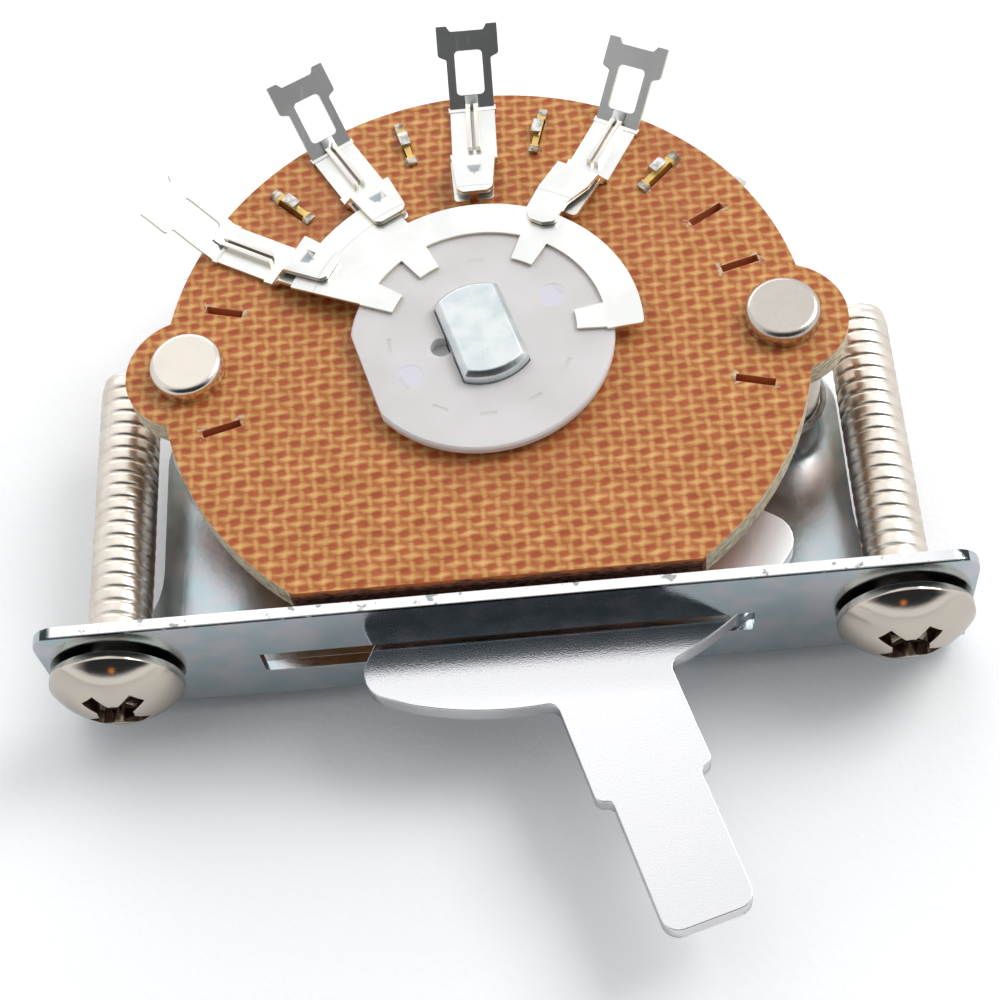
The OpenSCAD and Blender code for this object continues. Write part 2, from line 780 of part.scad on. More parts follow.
// Leg through the wafer's slot, with a bar bent out of it and two end tabs on the far face
module staple(bar_shift) {
    leg_in_r = slot_in_r + run_clear;
    leg_out_r = slot_out_r - run_clear;
    leg_len = leg_out_r - leg_in_r;
    leg_w = slot_w - 2 * run_clear;
    translate([leg_in_r, -leg_w / 2, -wafer_t - term_t]) cube([leg_len, leg_w, wafer_t + term_t + bite]);
    translate([leg_in_r + 0.4 * leg_len, bar_shift - leg_bar_w / 2, -wafer_t - leg_bar_h])
        cube([0.45 * leg_len, leg_bar_w, leg_bar_h - 0.15]);
    translate([leg_out_r - bite, -leg_tab_w / 2, -wafer_t - term_t])
        cube([leg_tab_out + bite, leg_tab_w, term_t]);
    translate([leg_in_r - leg_tab_in, -leg_tab_w / 2, -wafer_t - term_t])
        cube([leg_tab_in + bite, leg_tab_w, term_t]);
}

module front_terminal(angle, shift, common = false) {
    color([0.88, 0.88, 0.86])
    translate([0, spindle_y, wafer_top]) rotate(angle) terminal(shift, common, 0);
}

module back_terminal(angle, bar_shift, common = false) {
    color([0.88, 0.88, 0.86])
    translate([0, spindle_y, wafer_bottom]) mirror([0, 0, 1]) rotate(angle) terminal(0, common, bar_shift);
}

// Mounting screws, with a domed head and a cross recess

module mounting_screw(side) {
    head_at = -screw_gap - screw_rim;
    ball_r = (pow(screw_head_d / 2, 2) + pow(screw_dome, 2)) / (2 * screw_dome);
    recess = 0.52 * screw_head_d;
    top = head_at - screw_dome;
    screw_end = screw_len - screw_gap;
    color([0.76, 0.73, 0.69])
    translate([side * screw_x, 0, 0])
        rotate([-90, 0, 0])
            difference() {
                union() {
                    disc(screw_d, -screw_gap - bite, screw_end - screw_chamfer);
                    translate([0, 0, screw_end - screw_chamfer])
                        cylinder(h = screw_chamfer, d1 = screw_d, d2 = screw_d - 2 * screw_chamfer, $fn = 48);
                    disc(screw_head_d, head_at, -screw_gap);
                    intersection() {
                        translate([0, 0, top + ball_r]) sphere(r = ball_r, $fn = 96);
                        disc(screw_head_d, top - 1, head_at + bite);
                    }
                }
                for (a = [0, 90])
                    rotate(a + 45 - side * recess_turn)
                        translate([-recess / 2, -recess_w / 2, top - 1])
                            cube([recess, recess_w, 1 + recess_depth]);
                translate([0, 0, top - 1]) cylinder(d = 2 * recess_w, h = 1.3 + recess_depth, $fn = 32);
            }
}

frame();
wafer();
rivet(-1);  // left_rivet
rivet(1);  // right_rivet
standoff(-1);  // left_standoff
standoff(1);  // right_standoff
spindle();
lever();
thrust_washer();
retaining_ring();
detent_roller();
detent_spring();
rotor();
front_contact_ring();
back_contact_ring();
front_terminal(front_angles[0], -0.45);  // front_terminal_1
front_terminal(front_angles[1], -0.15);  // front_terminal_2
front_terminal(front_angles[2], -0.1);  // front_terminal_3
front_terminal(front_angles[3], 0, common = true);  // front_common_terminal
back_terminal(back_angles[0], bar_shifts[0]);  // back_terminal_1
back_terminal(back_angles[1], bar_shifts[1]);  // back_terminal_2
back_terminal(back_angles[2], bar_shifts[2]);  // back_terminal_3
back_terminal(back_angles[3], bar_shifts[3], common = true);  // back_common_terminal
mounting_screw(-1);  // left_mounting_screw
mounting_screw(1);  // right_mounting_screw
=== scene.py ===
# %% [markdown]
# A guitar's pickup selector, lying on its back on a white table. The working shapes come from
# the CAD frame. This notebook gives them their finishes, adds the small forms that a shop would
# never draw, such as screw threads and loose fibres, and sets up a plain product photograph.

# %% Load the frame
import json
import math

import bmesh
import bpy
from mathutils import Matrix, Vector


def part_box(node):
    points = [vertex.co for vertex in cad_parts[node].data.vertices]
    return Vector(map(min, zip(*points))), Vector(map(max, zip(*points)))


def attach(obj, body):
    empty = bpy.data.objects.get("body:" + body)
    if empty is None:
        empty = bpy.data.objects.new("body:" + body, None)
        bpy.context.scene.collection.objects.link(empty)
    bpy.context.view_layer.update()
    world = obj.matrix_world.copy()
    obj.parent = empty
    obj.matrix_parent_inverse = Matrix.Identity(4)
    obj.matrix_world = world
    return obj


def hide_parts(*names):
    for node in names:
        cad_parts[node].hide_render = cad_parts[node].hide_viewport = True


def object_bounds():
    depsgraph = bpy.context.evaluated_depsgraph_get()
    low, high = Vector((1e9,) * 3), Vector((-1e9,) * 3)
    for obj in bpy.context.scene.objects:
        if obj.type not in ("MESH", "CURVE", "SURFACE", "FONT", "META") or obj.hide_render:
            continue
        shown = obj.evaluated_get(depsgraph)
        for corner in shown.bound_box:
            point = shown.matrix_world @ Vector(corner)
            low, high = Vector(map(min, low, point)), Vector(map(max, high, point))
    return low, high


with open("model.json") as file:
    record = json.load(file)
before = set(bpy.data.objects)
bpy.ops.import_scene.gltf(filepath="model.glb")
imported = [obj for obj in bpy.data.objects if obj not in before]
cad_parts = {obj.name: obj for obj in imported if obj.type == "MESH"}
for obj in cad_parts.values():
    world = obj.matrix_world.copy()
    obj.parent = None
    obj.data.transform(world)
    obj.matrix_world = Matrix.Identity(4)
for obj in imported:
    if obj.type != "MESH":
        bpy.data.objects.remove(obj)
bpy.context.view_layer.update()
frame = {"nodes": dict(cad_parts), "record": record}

MM = 0.001
scene = bpy.context.scene
record = frame["record"]
slot_of = {part["node"]: part["material_slot"] for part in record["subparts"]}
body_of = {name: body for body, names in record["behaviour"]["bodies"].items() for name in names}
spindle_y = 15 * MM
wafer_low, wafer_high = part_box("wafer")
wafer_top = wafer_high[2]
wafer_thickness = wafer_high[2] - wafer_low[2]
print("nodes:", len(frame["nodes"]), "wafer's face at", round(wafer_top / MM, 2), "mm")

# %% [markdown]
# The photograph was taken from above and in front, close to the object, with the camera rolled a
# little. The lens follows from the field of view, so that the perspective matches as well.

# %% Camera
camera_at = Vector((5.9, -46.13, 93.92)) * MM
camera_tilt = math.radians(30.37)
camera_heading = math.radians(6.09)
camera_roll = math.radians(-10.36)

camera_data = bpy.data.cameras.new("camera")
camera_data.lens = 72.0
camera_data.sensor_width = 36.0
camera_data.clip_start = 0.005
camera = bpy.data.objects.new("camera", camera_data)
scene.collection.objects.link(camera)
turn = (
    Matrix.Rotation(camera_heading, 4, "Z")
    @ Matrix.Rotation(camera_tilt, 4, "X")
    @ Matrix.Rotation(camera_roll, 4, "Z")
)
camera.matrix_world = Matrix.Translation(camera_at) @ turn
scene.camera = camera
scene.view_settings.view_transform = "Standard"
print("camera", round(camera_at.length / MM), "mm from the lever's slot")

# %% [markdown]
# Nodes are easier to read when each one is made in a single line. `node` makes one node, sets its
# plain values and links its inputs, and `maths` does the same for arithmetic. The other helpers
# name the small sums that come back in every mask: a product, a distance, a coordinate.

# %% Node helpers
def node(tree, kind, label="", props=None, **inputs):
    """Add a node; each keyword is an input's name, given a value or an output to link."""
    made = tree.nodes.new(kind)
    made.label = label
    for key, value in (props or {}).items():
        setattr(made, key, value)
    for key, value in inputs.items():
        connect(tree, made.inputs[key.replace("_", " ")], value)
    return made


def connect(tree, socket, value):
    """Link an output to a socket, or set the socket's own value."""
    if isinstance(value, bpy.types.NodeSocket):
        tree.links.new(value, socket)
    elif isinstance(value, bpy.types.Node):
        tree.links.new(value.outputs[0], socket)
    elif isinstance(value, (tuple, list)) and len(value) == 3 and socket.type == "RGBA":
        socket.default_value = (*value, 1)
    else:
        socket.default_value = value


def maths(tree, operation, *values):
    """Add a Math node on up to three values and return its output."""
    made = tree.nodes.new("ShaderNodeMath")
    made.operation = operation
    for socket, value in zip(made.inputs, values):
        connect(tree, socket, value)
    return made.outputs[0]


def product(tree, first, *others):
    """Return the product of values, which for masks is where all of them hold."""
    for other in others:
        first = maths(tree, "MULTIPLY", first, other)
    return first


def inverse(tree, mask):
    """Return 1 where a mask is 0, and 0 where it is 1."""
    return maths(tree, "SUBTRACT", 1.0, mask)


def away(tree, value, centre):
    """Return how far a value lies from a centre."""
    return maths(tree, "ABSOLUTE", maths(tree, "SUBTRACT", value, centre))


def diagonal(tree, a, b):
    """Return the length of the diagonal of a rectangle."""
    return maths(tree, "SQRT", maths(tree, "ADD", product(tree, a, a), product(tree, b, b)))


def smooth(tree, value, start, end):
    """Return 0 at start, 1 at end and a smooth step between them; start may be the greater."""
    made = node(tree, "ShaderNodeMapRange", props={"interpolation_type": "SMOOTHSTEP"}, Value=value)
    made.inputs["From Min"].default_value = start
    made.inputs["From Max"].default_value = end
    return made.outputs[0]


def axis(tree, vector, name):
    """Return one coordinate of a vector: X, Y or Z."""
    return node(tree, "ShaderNodeSeparateXYZ", Vector=vector).outputs[name]


def noise(tree, label, place, scale, detail, **others):
    """Return the grey value of a noise texture."""
    made = node(tree, "ShaderNodeTexNoise", label, Vector=place, Scale=scale, Detail=detail, **others)
    return made.outputs[0]


def mix(tree, factor, a, b):
    """Blend two colours."""
    made = tree.nodes.new("ShaderNodeMix")
    made.data_type = "RGBA"
    connect(tree, made.inputs[0], factor)
    connect(tree, made.inputs[6], a)
    connect(tree, made.inputs[7], b)
    return made.outputs[2]


def coated(tree, color, *coats):
    """Lay coats over a colour, each given as its mask and its own colour."""
    for mask, coat in coats:
        color = mix(tree, mask, color, coat)
    return color


def opened(material):
    """Return a material's node tree, its shader and the object position."""
    tree = material.node_tree
    place = node(tree, "ShaderNodeTexCoord").outputs["Object"]
    return tree, tree.nodes["Principled BSDF"], place


def new_material(name):
    """Return a new material, with its node tree, its shader and the object position."""
    material = bpy.data.materials.new(name)
    material.use_nodes = True
    return (material, *opened(material))


def feed(shader, name):
    """Return the output that feeds one of a shader's inputs so far."""
    return shader.inputs[name].links[0].from_socket


def emboss(tree, shader, height, strength, distance):
    """Give a shader's surface a fine relief."""
    bump = node(tree, "ShaderNodeBump", Height=height, Strength=strength, Distance=distance)
    connect(tree, shader.inputs["Normal"], bump)


print("node helpers ready in Blender", bpy.app.version_string)

# %% [markdown]
# Bare metal shows the room, so the room matters more than the lamps. A bright ceiling and window
# light the object; the side towards the photographer is dark, down to a low pale wall. The lugs
# that lean forwards and the screw heads reflect that dark side, and the flat faces reflect the
# window. A small warm lamp in the dark side gives the orange glint on the screw heads.

# %% Room light
window_glow = 0.9
room_glow = 0.03
room_white = (0.97, 0.985, 1.0)
room_dark = (room_glow, room_glow * 1.15, room_glow * 1.3)
lamp_orange = (0.9, 0.32, 0.06)
world = bpy.data.worlds.new("studio")
world.use_nodes = True
room = world.node_tree
looking = node(room, "ShaderNodeTexCoord").outputs["Generated"]


def towards(direction, start, end):
    """Return a smooth mask of the part of the room in one direction."""
    facing = node(room, "ShaderNodeVectorMath", props={"operation": "DOT_PRODUCT"})
    connect(room, facing.inputs[0], looking)
    facing.inputs[1].default_value = Vector(direction).normalized()
    return smooth(room, facing.outputs["Value"], start, end)


above_wall = towards((0, 0, 1), 0.13, 0.27)
dark_side = product(room, towards((0.05, -0.87, 0.5), 0.40, 0.84), above_wall)
warm_lamp = towards((-0.05, -0.92, 0.33), 0.9975, 0.999)
room_color = coated(room, room_white, (dark_side, room_dark), (warm_lamp, lamp_orange))
connect(room, room.nodes["Background"].inputs["Color"], room_color)
room.nodes["Background"].inputs["Strength"].default_value = window_glow
scene.world = world

lamp_distance = 0.4


def soft_box(name, direction, width, height, power, color):
    """Add one rectangular soft box that shines on the object from a direction."""
    data = bpy.data.lights.new(name, "AREA")
    data.shape = "RECTANGLE"
    data.size = width
    data.size_y = height
    data.energy = power
    data.color = color
    lamp = bpy.data.objects.new(name, data)
    scene.collection.objects.link(lamp)
    way = Vector(direction).normalized()
    lamp.location = Vector((0, spindle_y, 0)) + way * lamp_distance
    lamp.rotation_euler = way.to_track_quat("Z", "Y").to_euler()


soft_box("window", (-0.2, 0.62, 0.78), 0.26, 0.34, 0.06, (1, 0.99, 0.97))
soft_box("far_window", (-0.25, 0.88, 0.42), 0.4, 0.16, 0.22, (1, 0.99, 0.97))
soft_box("ceiling_lamp", (0.6, 0.3, 0.74), 0.2, 0.2, 0.68, (1, 0.99, 0.98))
print("lamps:", len(bpy.data.lights), "room nodes:", len(room.nodes))

# %% [markdown]
# The table is a sheet of white paper just under the lowest point of the switch. The camera sees
# it a little brighter than the metal does, as a photographer's exposure would make it.

# %% Table
floor_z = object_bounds()[0][2]
table_half_width = 0.7
paper_color = (0.80, 0.805, 0.81)
paper_gain = 1.42
lifted_color = tuple(channel * paper_gain for channel in paper_color)

mesh = bpy.data.meshes.new("table")
shape = bmesh.new()
bmesh.ops.create_grid(shape, x_segments=1, y_segments=1, size=table_half_width)
bmesh.ops.translate(shape, vec=(0, 0, floor_z), verts=shape.verts)
shape.to_mesh(mesh)
shape.free()
table = bpy.data.objects.new("table", mesh)
scene.collection.objects.link(table)

paper, tree, shader, place = new_material("white_paper")
seen = node(tree, "ShaderNodeLightPath").outputs["Is Camera Ray"]
connect(tree, shader.inputs["Base Color"], mix(tree, seen, paper_color, lifted_color))
shader.inputs["Roughness"].default_value = 0.9
shader.inputs["Specular IOR Level"].default_value = 0.1
emboss(tree, shader, noise(tree, "paper fibres", place, 2600.0, 3.0), 0.5, 0.00005)
table.data.materials.append(paper)
print("table at", round(floor_z / MM, 2), "mm")

# %% [markdown]
# Several metals share one effect: fine grain with a few scratches, and a cloudy change of tone.
# It is a node group, so that each finish places it with its own values. A second group finds the
# cut sides of a sheet that lies flat, from the direction that each face looks in.

# %% Metal surface group
def new_tree(name, kind, inputs, outputs):
    """Return a node tree with named sockets, and its inputs and outputs as seen from inside.

    A socket is given its kind, such as "Vector", or a number as its first value.
    """
    group = bpy.data.node_groups.new(name, kind)
    for way, sockets in (("INPUT", inputs), ("OUTPUT", outputs)):
        for title, given in sockets.items():
            plain = isinstance(given, str)
            sort = given if plain else type(given).__name__.title()
            made = group.interface.new_socket(name=title, in_out=way, socket_type="NodeSocket" + sort)
            if not plain:
                made.default_value = given
    return group, group.nodes.new("NodeGroupInput").outputs, group.nodes.new("NodeGroupOutput").inputs


def placed(tree, group, **inputs):
    """Add a node group to a tree."""
    return node(tree, "ShaderNodeGroup", props={"node_tree": group}, **inputs)


def metal_surface_group():
    """Group: object position in, roughness and height of worked sheet metal out."""
    group, given, result = new_tree(
        "metal_surface", "ShaderNodeTree",
        {"Position": "Vector", "Grain Scale": 9000.0, "Cloud Scale": 260.0, "Roughness": 0.3,
         "Uneven": 0.1, "Scratches": 0.3},
        {"Roughness": "Float", "Height": "Float", "Cloud": "Float"})
    place = given["Position"]
    grain = noise(group, "grain", place, given["Grain Scale"], 3.0, Roughness=0.6)
    cloud = noise(group, "cloud", place, given["Cloud Scale"], 4.0)
    line_map = node(group, "ShaderNodeMapping", Vector=place)
    line_map.inputs["Rotation"].default_value = (0.0, 0.0, 0.7)
    line_map.inputs["Scale"].default_value = (3500.0, 160.0, 900.0)
    scratch = smooth(group, noise(group, "scratches", line_map, 1.0, 1.0), 0.66, 0.72)
    scratch = product(group, scratch, given["Scratches"])
    uneven = product(group, maths(group, "SUBTRACT", cloud, 0.5), given["Uneven"])
    worn = maths(group, "MULTIPLY_ADD", scratch, 0.12, uneven)
    connect(group, result["Roughness"], maths(group, "ADD", worn, given["Roughness"]))
    connect(group, result["Height"], maths(group, "MULTIPLY_ADD", scratch, -0.8, grain))
    connect(group, result["Cloud"], cloud)
    return group


def cut_edge_group():
    """Group: 1 on the cut sides of a sheet that lies flat, 0 on its faces."""
    group, given, result = new_tree("cut_edge", "ShaderNodeTree", {"Steepness": 0.3}, {"Mask": "Float"})
    up = axis(group, node(group, "ShaderNodeTexCoord").outputs["Normal"], "Z")
    flat = maths(group, "GREATER_THAN", maths(group, "ABSOLUTE", up), given["Steepness"])
    connect(group, result["Mask"], inverse(group, flat))
    return group


metal_surface = metal_surface_group()
cut_edge = cut_edge_group()
print("metal surface nodes:", len(metal_surface.nodes), "cut edge nodes:", len(cut_edge.nodes))

# %% [markdown]
# The contacts, the slots and the rotor's marks all stand round the spindle. One more group turns
# a position into polar measures: the distance from the spindle, and the offset from the nearest
# spoke of a wheel with an even number of degrees between its spokes.

# %% Spokes group
slot_step = math.radians(15)
terminal_step = math.radians(30)


def spokes_group():
    """Group: object position in, radius and offset from the nearest spoke out."""
    group, given, result = new_tree(
        "spokes", "ShaderNodeTree", {"Position": "Vector", "First": 0.0, "Step": slot_step},
        {"Radius": "Float", "Offset": "Float"})
    x = axis(group, given["Position"], "X")
    y = maths(group, "SUBTRACT", axis(group, given["Position"], "Y"), spindle_y)
    radius = diagonal(group, x, y)
    half = maths(group, "DIVIDE", given["Step"], 2.0)
    angle = maths(group, "SUBTRACT", maths(group, "ARCTAN2", y, x), given["First"])
    turned = maths(group, "FLOORED_MODULO", maths(group, "ADD", angle, half), given["Step"])
    connect(group, result["Radius"], radius)
    connect(group, result["Offset"], product(group, maths(group, "SUBTRACT", turned, half), radius))
    return group


spokes = spokes_group()


def polar(tree, place, first, step):
    """Return the distance from the spindle and the offset from the nearest spoke."""
    wheel = placed(tree, spokes, Position=place, First=first, Step=step)
    return wheel.outputs["Radius"], wheel.outputs["Offset"]


print("shader groups:", [group.name for group in bpy.data.node_groups])

# %% [markdown]
# Each metal is the same recipe with other values: zinc plate is blue and cloudy, the lever is
# blasted, and nickel is warm and polished. The rivets and the screws' threads are nickel too, but
# duller. The left rivet's nickel is painted lighter and the right rivet's darker: painted light
# and painted shade. The contacts are bright silver with a cream cast at their cut edges, where
# the punch went through the plating.

# %% Metals
def metal(name, color, tint, roughness, uneven, cloud, grain_scale, grain, scratches, edge=None):
    """Return a worked metal; tint is the colour of its clouds, edge that of its cut sides."""
    material, tree, shader, place = new_material(name)
    surface = placed(tree, metal_surface, Position=place, Grain_Scale=grain_scale, Cloud_Scale=cloud,
                     Roughness=roughness, Uneven=uneven, Scratches=scratches)
    shade = mix(tree, smooth(tree, surface.outputs["Cloud"], 0.35, 0.65), color, tint)
    if edge:
        shade = mix(tree, placed(tree, cut_edge), shade, edge)
    connect(tree, shader.inputs["Base Color"], shade)
    shader.inputs["Metallic"].default_value = 1.0
    connect(tree, shader.inputs["Roughness"], surface.outputs["Roughness"])
    emboss(tree, shader, surface.outputs["Height"], grain, 0.00002)
    return material


metals = {
    "zinc_sheet": ((0.54, 0.66, 0.69), (0.69, 0.70, 0.75), 0.14, 0.2, 520, 3500, 0.25, 0.15),
    "lever_zinc": ((0.94, 0.945, 0.955), (0.96, 0.945, 0.97), 0.11, 0.06, 500, 12000, 0.4, 0.2),
    "spindle_zinc": ((0.64, 0.70, 0.71), (0.76, 0.79, 0.79), 0.3, 0.2, 900, 3200, 0.7, 0.3),
    "nickel": ((0.71, 0.64, 0.55), (0.67, 0.61, 0.54), 0.12, 0.08, 500, 4000, 0.15, 0.3),
    # The two rivet nickels are a lit and a shaded copy: painted light on the left rivet, painted shade
    # on the right.
    "rivet_nickel": ((0.84, 0.77, 0.685), (0.80, 0.745, 0.665), 0.18, 0.08, 700, 4000, 0.2, 0.3),
    "dull_nickel": ((0.64, 0.58, 0.515), (0.60, 0.555, 0.50), 0.24, 0.1, 900, 4500, 0.35, 0.4),
    "thread_nickel": ((0.95, 0.87, 0.77), (0.84, 0.76, 0.67), 0.3, 0.1, 900, 6000, 0.3, 0.2),
    "silver_contact": ((0.93, 0.92, 0.885), (0.83, 0.835, 0.81), 0.31, 0.1, 420, 5000, 0.2, 0.3,
                       (0.86, 0.80, 0.66)),
    "spring_steel": ((0.50, 0.51, 0.52), (0.58, 0.58, 0.57), 0.3, 0.1, 300, 6000, 0.2, 0.2),
}
finishes = {name: metal(name, *values) for name, values in metals.items()}
print("metals:", len(finishes))

# %% [markdown]
# The legs of the lower terminals come up through the wafer. There the punch left bare brass,
# which shows between their tarnished tabs, and a short bar lies on top of each leg. The lower
# terminals stand on spokes 30 degrees apart, so one mask with the spokes group finds all four.

# %% Masks of the lower terminals
lower_spoke = math.radians(45)
leg_radius = 14.7 * MM
leg_half_width = 0.47 * MM
leg_half_length = 1.1 * MM
bar_half_width = 0.62 * MM
bar_foot = wafer_top + 0.32 * MM
under_face = wafer_top - 0.3 * MM


def leg_masks(tree, place):
    """Return masks of the bare brass legs, the tabs beside them and the bars on top."""
    radius, offset = polar(tree, place, lower_spoke, terminal_step)
    beside = maths(tree, "ABSOLUTE", offset)
    height = axis(tree, place, "Z")
    low = product(tree, maths(tree, "LESS_THAN", height, bar_foot),
                  maths(tree, "GREATER_THAN", height, under_face))
    leg = maths(tree, "LESS_THAN", beside, leg_half_width)
    middle = maths(tree, "LESS_THAN", away(tree, radius, leg_radius), leg_half_length)
    wide = maths(tree, "LESS_THAN", beside, bar_half_width)
    brass = product(tree, leg, middle, low)
    tab = product(tree, leg, inverse(tree, middle), low)
    bar = product(tree, wide, middle, maths(tree, "GREATER_THAN", height, bar_foot))
    return brass, tab, bar


print("legs", round(leg_radius / MM, 2), "mm from the spindle")

# %% [markdown]
# A thin grey round line is painted on the contact ring. The dents that press the jaws onto it,
# and the ridges of the terminals with the folds along their middles, get painted shade: they are
# coloured darker than the flat silver. A dent is a wedge that opens outwards. The one in the jaw
# at 150 degrees was struck a little to one side.

# %% Masks of the jaws
grey_ring_line_radius = 9.75 * MM
dent_tip = 10.5 * MM
dent_slope = 0.6
ring_top = wafer_top + 0.9 * MM
jaw_top = wafer_top + 1.18 * MM
first_jaw_x = -8.0 * MM
common_jaw_x = 3.5 * MM
strip_start, strip_end = 13.25 * MM, 16.2 * MM
ridge_centre = -0.13 * MM
ridge_half_width = 0.4 * MM
fold_half_width = 0.1 * MM


def track_mask(tree, place):
    """Return a mask of a thin grey round line on the ring."""
    radius, _ = polar(tree, place, 0.0, terminal_step)
    on_ring = maths(tree, "GREATER_THAN", axis(tree, place, "Z"), ring_top)
    track = inverse(tree, smooth(tree, away(tree, radius, grey_ring_line_radius), 0.02 * MM, 0.08 * MM))
    return product(tree, track, on_ring)


def dent_mask(tree, place):
    """Return a mask of painted shade in the wedge-shaped dents of the three short jaws."""
    radius, offset = polar(tree, place, 0.0, terminal_step)
    x = axis(tree, place, "X")
    at_150_degrees = product(tree, maths(tree, "LESS_THAN", x, first_jaw_x), 0.33 * MM)
    aside = maths(tree, "ADD", maths(tree, "ADD", offset, 0.12 * MM), at_150_degrees)
    outer = maths(tree, "SUBTRACT", radius, dent_tip)
    wedge = maths(tree, "MULTIPLY_ADD", outer, -dent_slope, maths(tree, "ABSOLUTE", aside))
    in_wedge = inverse(tree, smooth(tree, wedge, -0.08 * MM, 0.05 * MM))
    not_past = smooth(tree, outer, 0.76 * MM, 0.66 * MM)
    on_jaw = maths(tree, "GREATER_THAN", axis(tree, place, "Z"), jaw_top)
    not_common = maths(tree, "LESS_THAN", x, common_jaw_x)
    return product(tree, in_wedge, not_past, on_jaw, not_common)


def ridge_masks(tree, place):
    """Return masks of painted shade on the ridges of the upper terminals and, darker, along their
    folds.
    """
    radius, offset = polar(tree, place, 0.0, terminal_step)
    from_middle = away(tree, offset, ridge_centre)
    on_strip = product(tree, maths(tree, "GREATER_THAN", radius, strip_start),
                       maths(tree, "LESS_THAN", radius, strip_end),
                       maths(tree, "GREATER_THAN", axis(tree, place, "Z"), under_face))
    ridge = product(tree, maths(tree, "LESS_THAN", from_middle, ridge_half_width), on_strip)
    fold_shade = product(tree, maths(tree, "LESS_THAN", from_middle, fold_half_width), on_strip)
    return ridge, fold_shade


print("worn track", round(grey_ring_line_radius / MM, 2), "mm from the spindle")

# %% [markdown]
# The marks are laid over the silver's own colour, coat by coat: a grey ring line, painted shade on
# the ridges, folds and dents, tarnish on bars and tabs, and bare brass. The tarnish on bars and
# tabs is patchy, and a noise decides where it is darker.

# %% Marks and painted shade on the contacts
def add_contact_wear(material):
    """Put brass, tarnish, a grey ring line and painted shade of dents, ridges and folds on the
    contacts.
    """
    tree, shader, place = opened(material)
    brass, tab, bar = leg_masks(tree, place)
    ridge, fold_shade = ridge_masks(tree, place)
    patchy = smooth(tree, noise(tree, "tarnish", place, 2600.0, 2.0), 0.3, 0.7)
    worn = coated(
        tree, feed(shader, "Base Color"),
        # The cream on the ridges, the dark fold lines and the dark dents below are painted shade.
        (product(tree, track_mask(tree, place), 0.5), (0.60, 0.60, 0.60)),
        (product(tree, ridge, 0.75), (0.80, 0.75, 0.68)),
        (fold_shade, (0.50, 0.47, 0.43)),
        (product(tree, dent_mask(tree, place), 0.85), (0.34, 0.39, 0.43)),
        (bar, mix(tree, patchy, (0.42, 0.40, 0.38), (0.80, 0.79, 0.76))),
        (tab, mix(tree, patchy, (0.20, 0.15, 0.10), (0.62, 0.58, 0.52))),
        (brass, (0.74, 0.52, 0.18)))
    connect(tree, shader.inputs["Base Color"], worn)


add_contact_wear(finishes["silver_contact"])
print("silver nodes with wear:", len(finishes["silver_contact"].node_tree.nodes))

# %% [markdown]
# The flange's upper edge gets a painted highlight, broken by noise, and the rolled corner below it
# a thin broken dark line of painted shade.

# %% Painted highlight and shade on the flange's edge
flange_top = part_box("frame")[1][2]
shade_line_height = flange_top - 0.14 * MM


def add_sheared_edge(material):
    """Paint a highlight on the flange's upper edge and a dark shade line under it."""
    tree, shader, place = opened(material)
    height = axis(tree, place, "Z")
    broken = noise(tree, "broken", place, 1500.0, 4.0)
    edge = smooth(tree, height, flange_top - 0.035 * MM, flange_top - 0.02 * MM)
    line = inverse(tree, smooth(tree, away(tree, height, shade_line_height), 0.08 * MM, 0.13 * MM))
    line = product(tree, line, smooth(tree, broken, 0.3, 0.42), 0.95)
    # The bright edge is a painted highlight, and the dark line is painted shade.
    bright = mix(tree, smooth(tree, broken, 0.62, 0.68), (0.98, 0.98, 0.98), (0.40, 0.42, 0.43))
    color = coated(tree, feed(shader, "Base Color"), (line, (0.02, 0.025, 0.025)), (edge, bright))
    connect(tree, shader.inputs["Base Color"], color)


add_sheared_edge(finishes["zinc_sheet"])
print("flange edge at", round(flange_top / MM, 2), "mm")

# %% [markdown]
# Inside the switch, behind the flange, nobody polished anything: the base plate and the lever's
# tail are frosted. So these two finishes get rougher from a little way behind the flange's face.

# %% Frosted inside
frost_start, frost_end = 0.62 * MM, 1.2 * MM


def frost_inside(material, extra):
    """Add roughness to the part of a finish that lies behind the flange."""
    tree, shader, place = opened(material)
    inside = smooth(tree, axis(tree, place, "Y"), frost_start, frost_end)
    frosted = maths(tree, "MULTIPLY_ADD", inside, extra, feed(shader, "Roughness"))
    connect(tree, shader.inputs["Roughness"], frosted)


frost_inside(finishes["zinc_sheet"], 0.08)
frost_inside(finishes["lever_zinc"], 0.24)
print("base plate and lever's tail frosted")

# %% [markdown]
# Two more things belong to single pieces. The steep walls of the screws' cross recesses are painted
# dark brown, as painted shade. The lever's fan droops a little where it leaves the slot, so it
# mirrors less of the flange. The droop is less than a fifth of a millimetre, so a Bump node in
# metres is enough.

# %% Painted recess shade and droop
screw_low, screw_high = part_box("right_mounting_screw")
screw_x = (screw_low[0] + screw_high[0]) / 2
recess_reach = 2.3 * MM
recess_depth = -0.8 * MM
droop = 0.18 * MM
droop_start, droop_end = 0.3 * MM, 3.9 * MM


def add_recess_grime(material):
    """Paint dark shade on the steep walls of the cross recess in a screw's head."""
    tree, shader, place = opened(material)
    facing = node(tree, "ShaderNodeTexCoord").outputs["Normal"]
    x = maths(tree, "SUBTRACT", maths(tree, "ABSOLUTE", axis(tree, place, "X")), screw_x)
    reach = diagonal(tree, x, axis(tree, place, "Z"))
    wall = maths(tree, "LESS_THAN", maths(tree, "ABSOLUTE", axis(tree, facing, "Y")), 0.75)
    recess_shade = product(tree, wall, maths(tree, "LESS_THAN", reach, recess_reach),
                    maths(tree, "LESS_THAN", axis(tree, place, "Y"), recess_depth), 0.75)
    # Dark brown painted shade on the recess walls.
    color = mix(tree, recess_shade, feed(shader, "Base Color"), (0.16, 0.115, 0.08))
    connect(tree, shader.inputs["Base Color"], color)


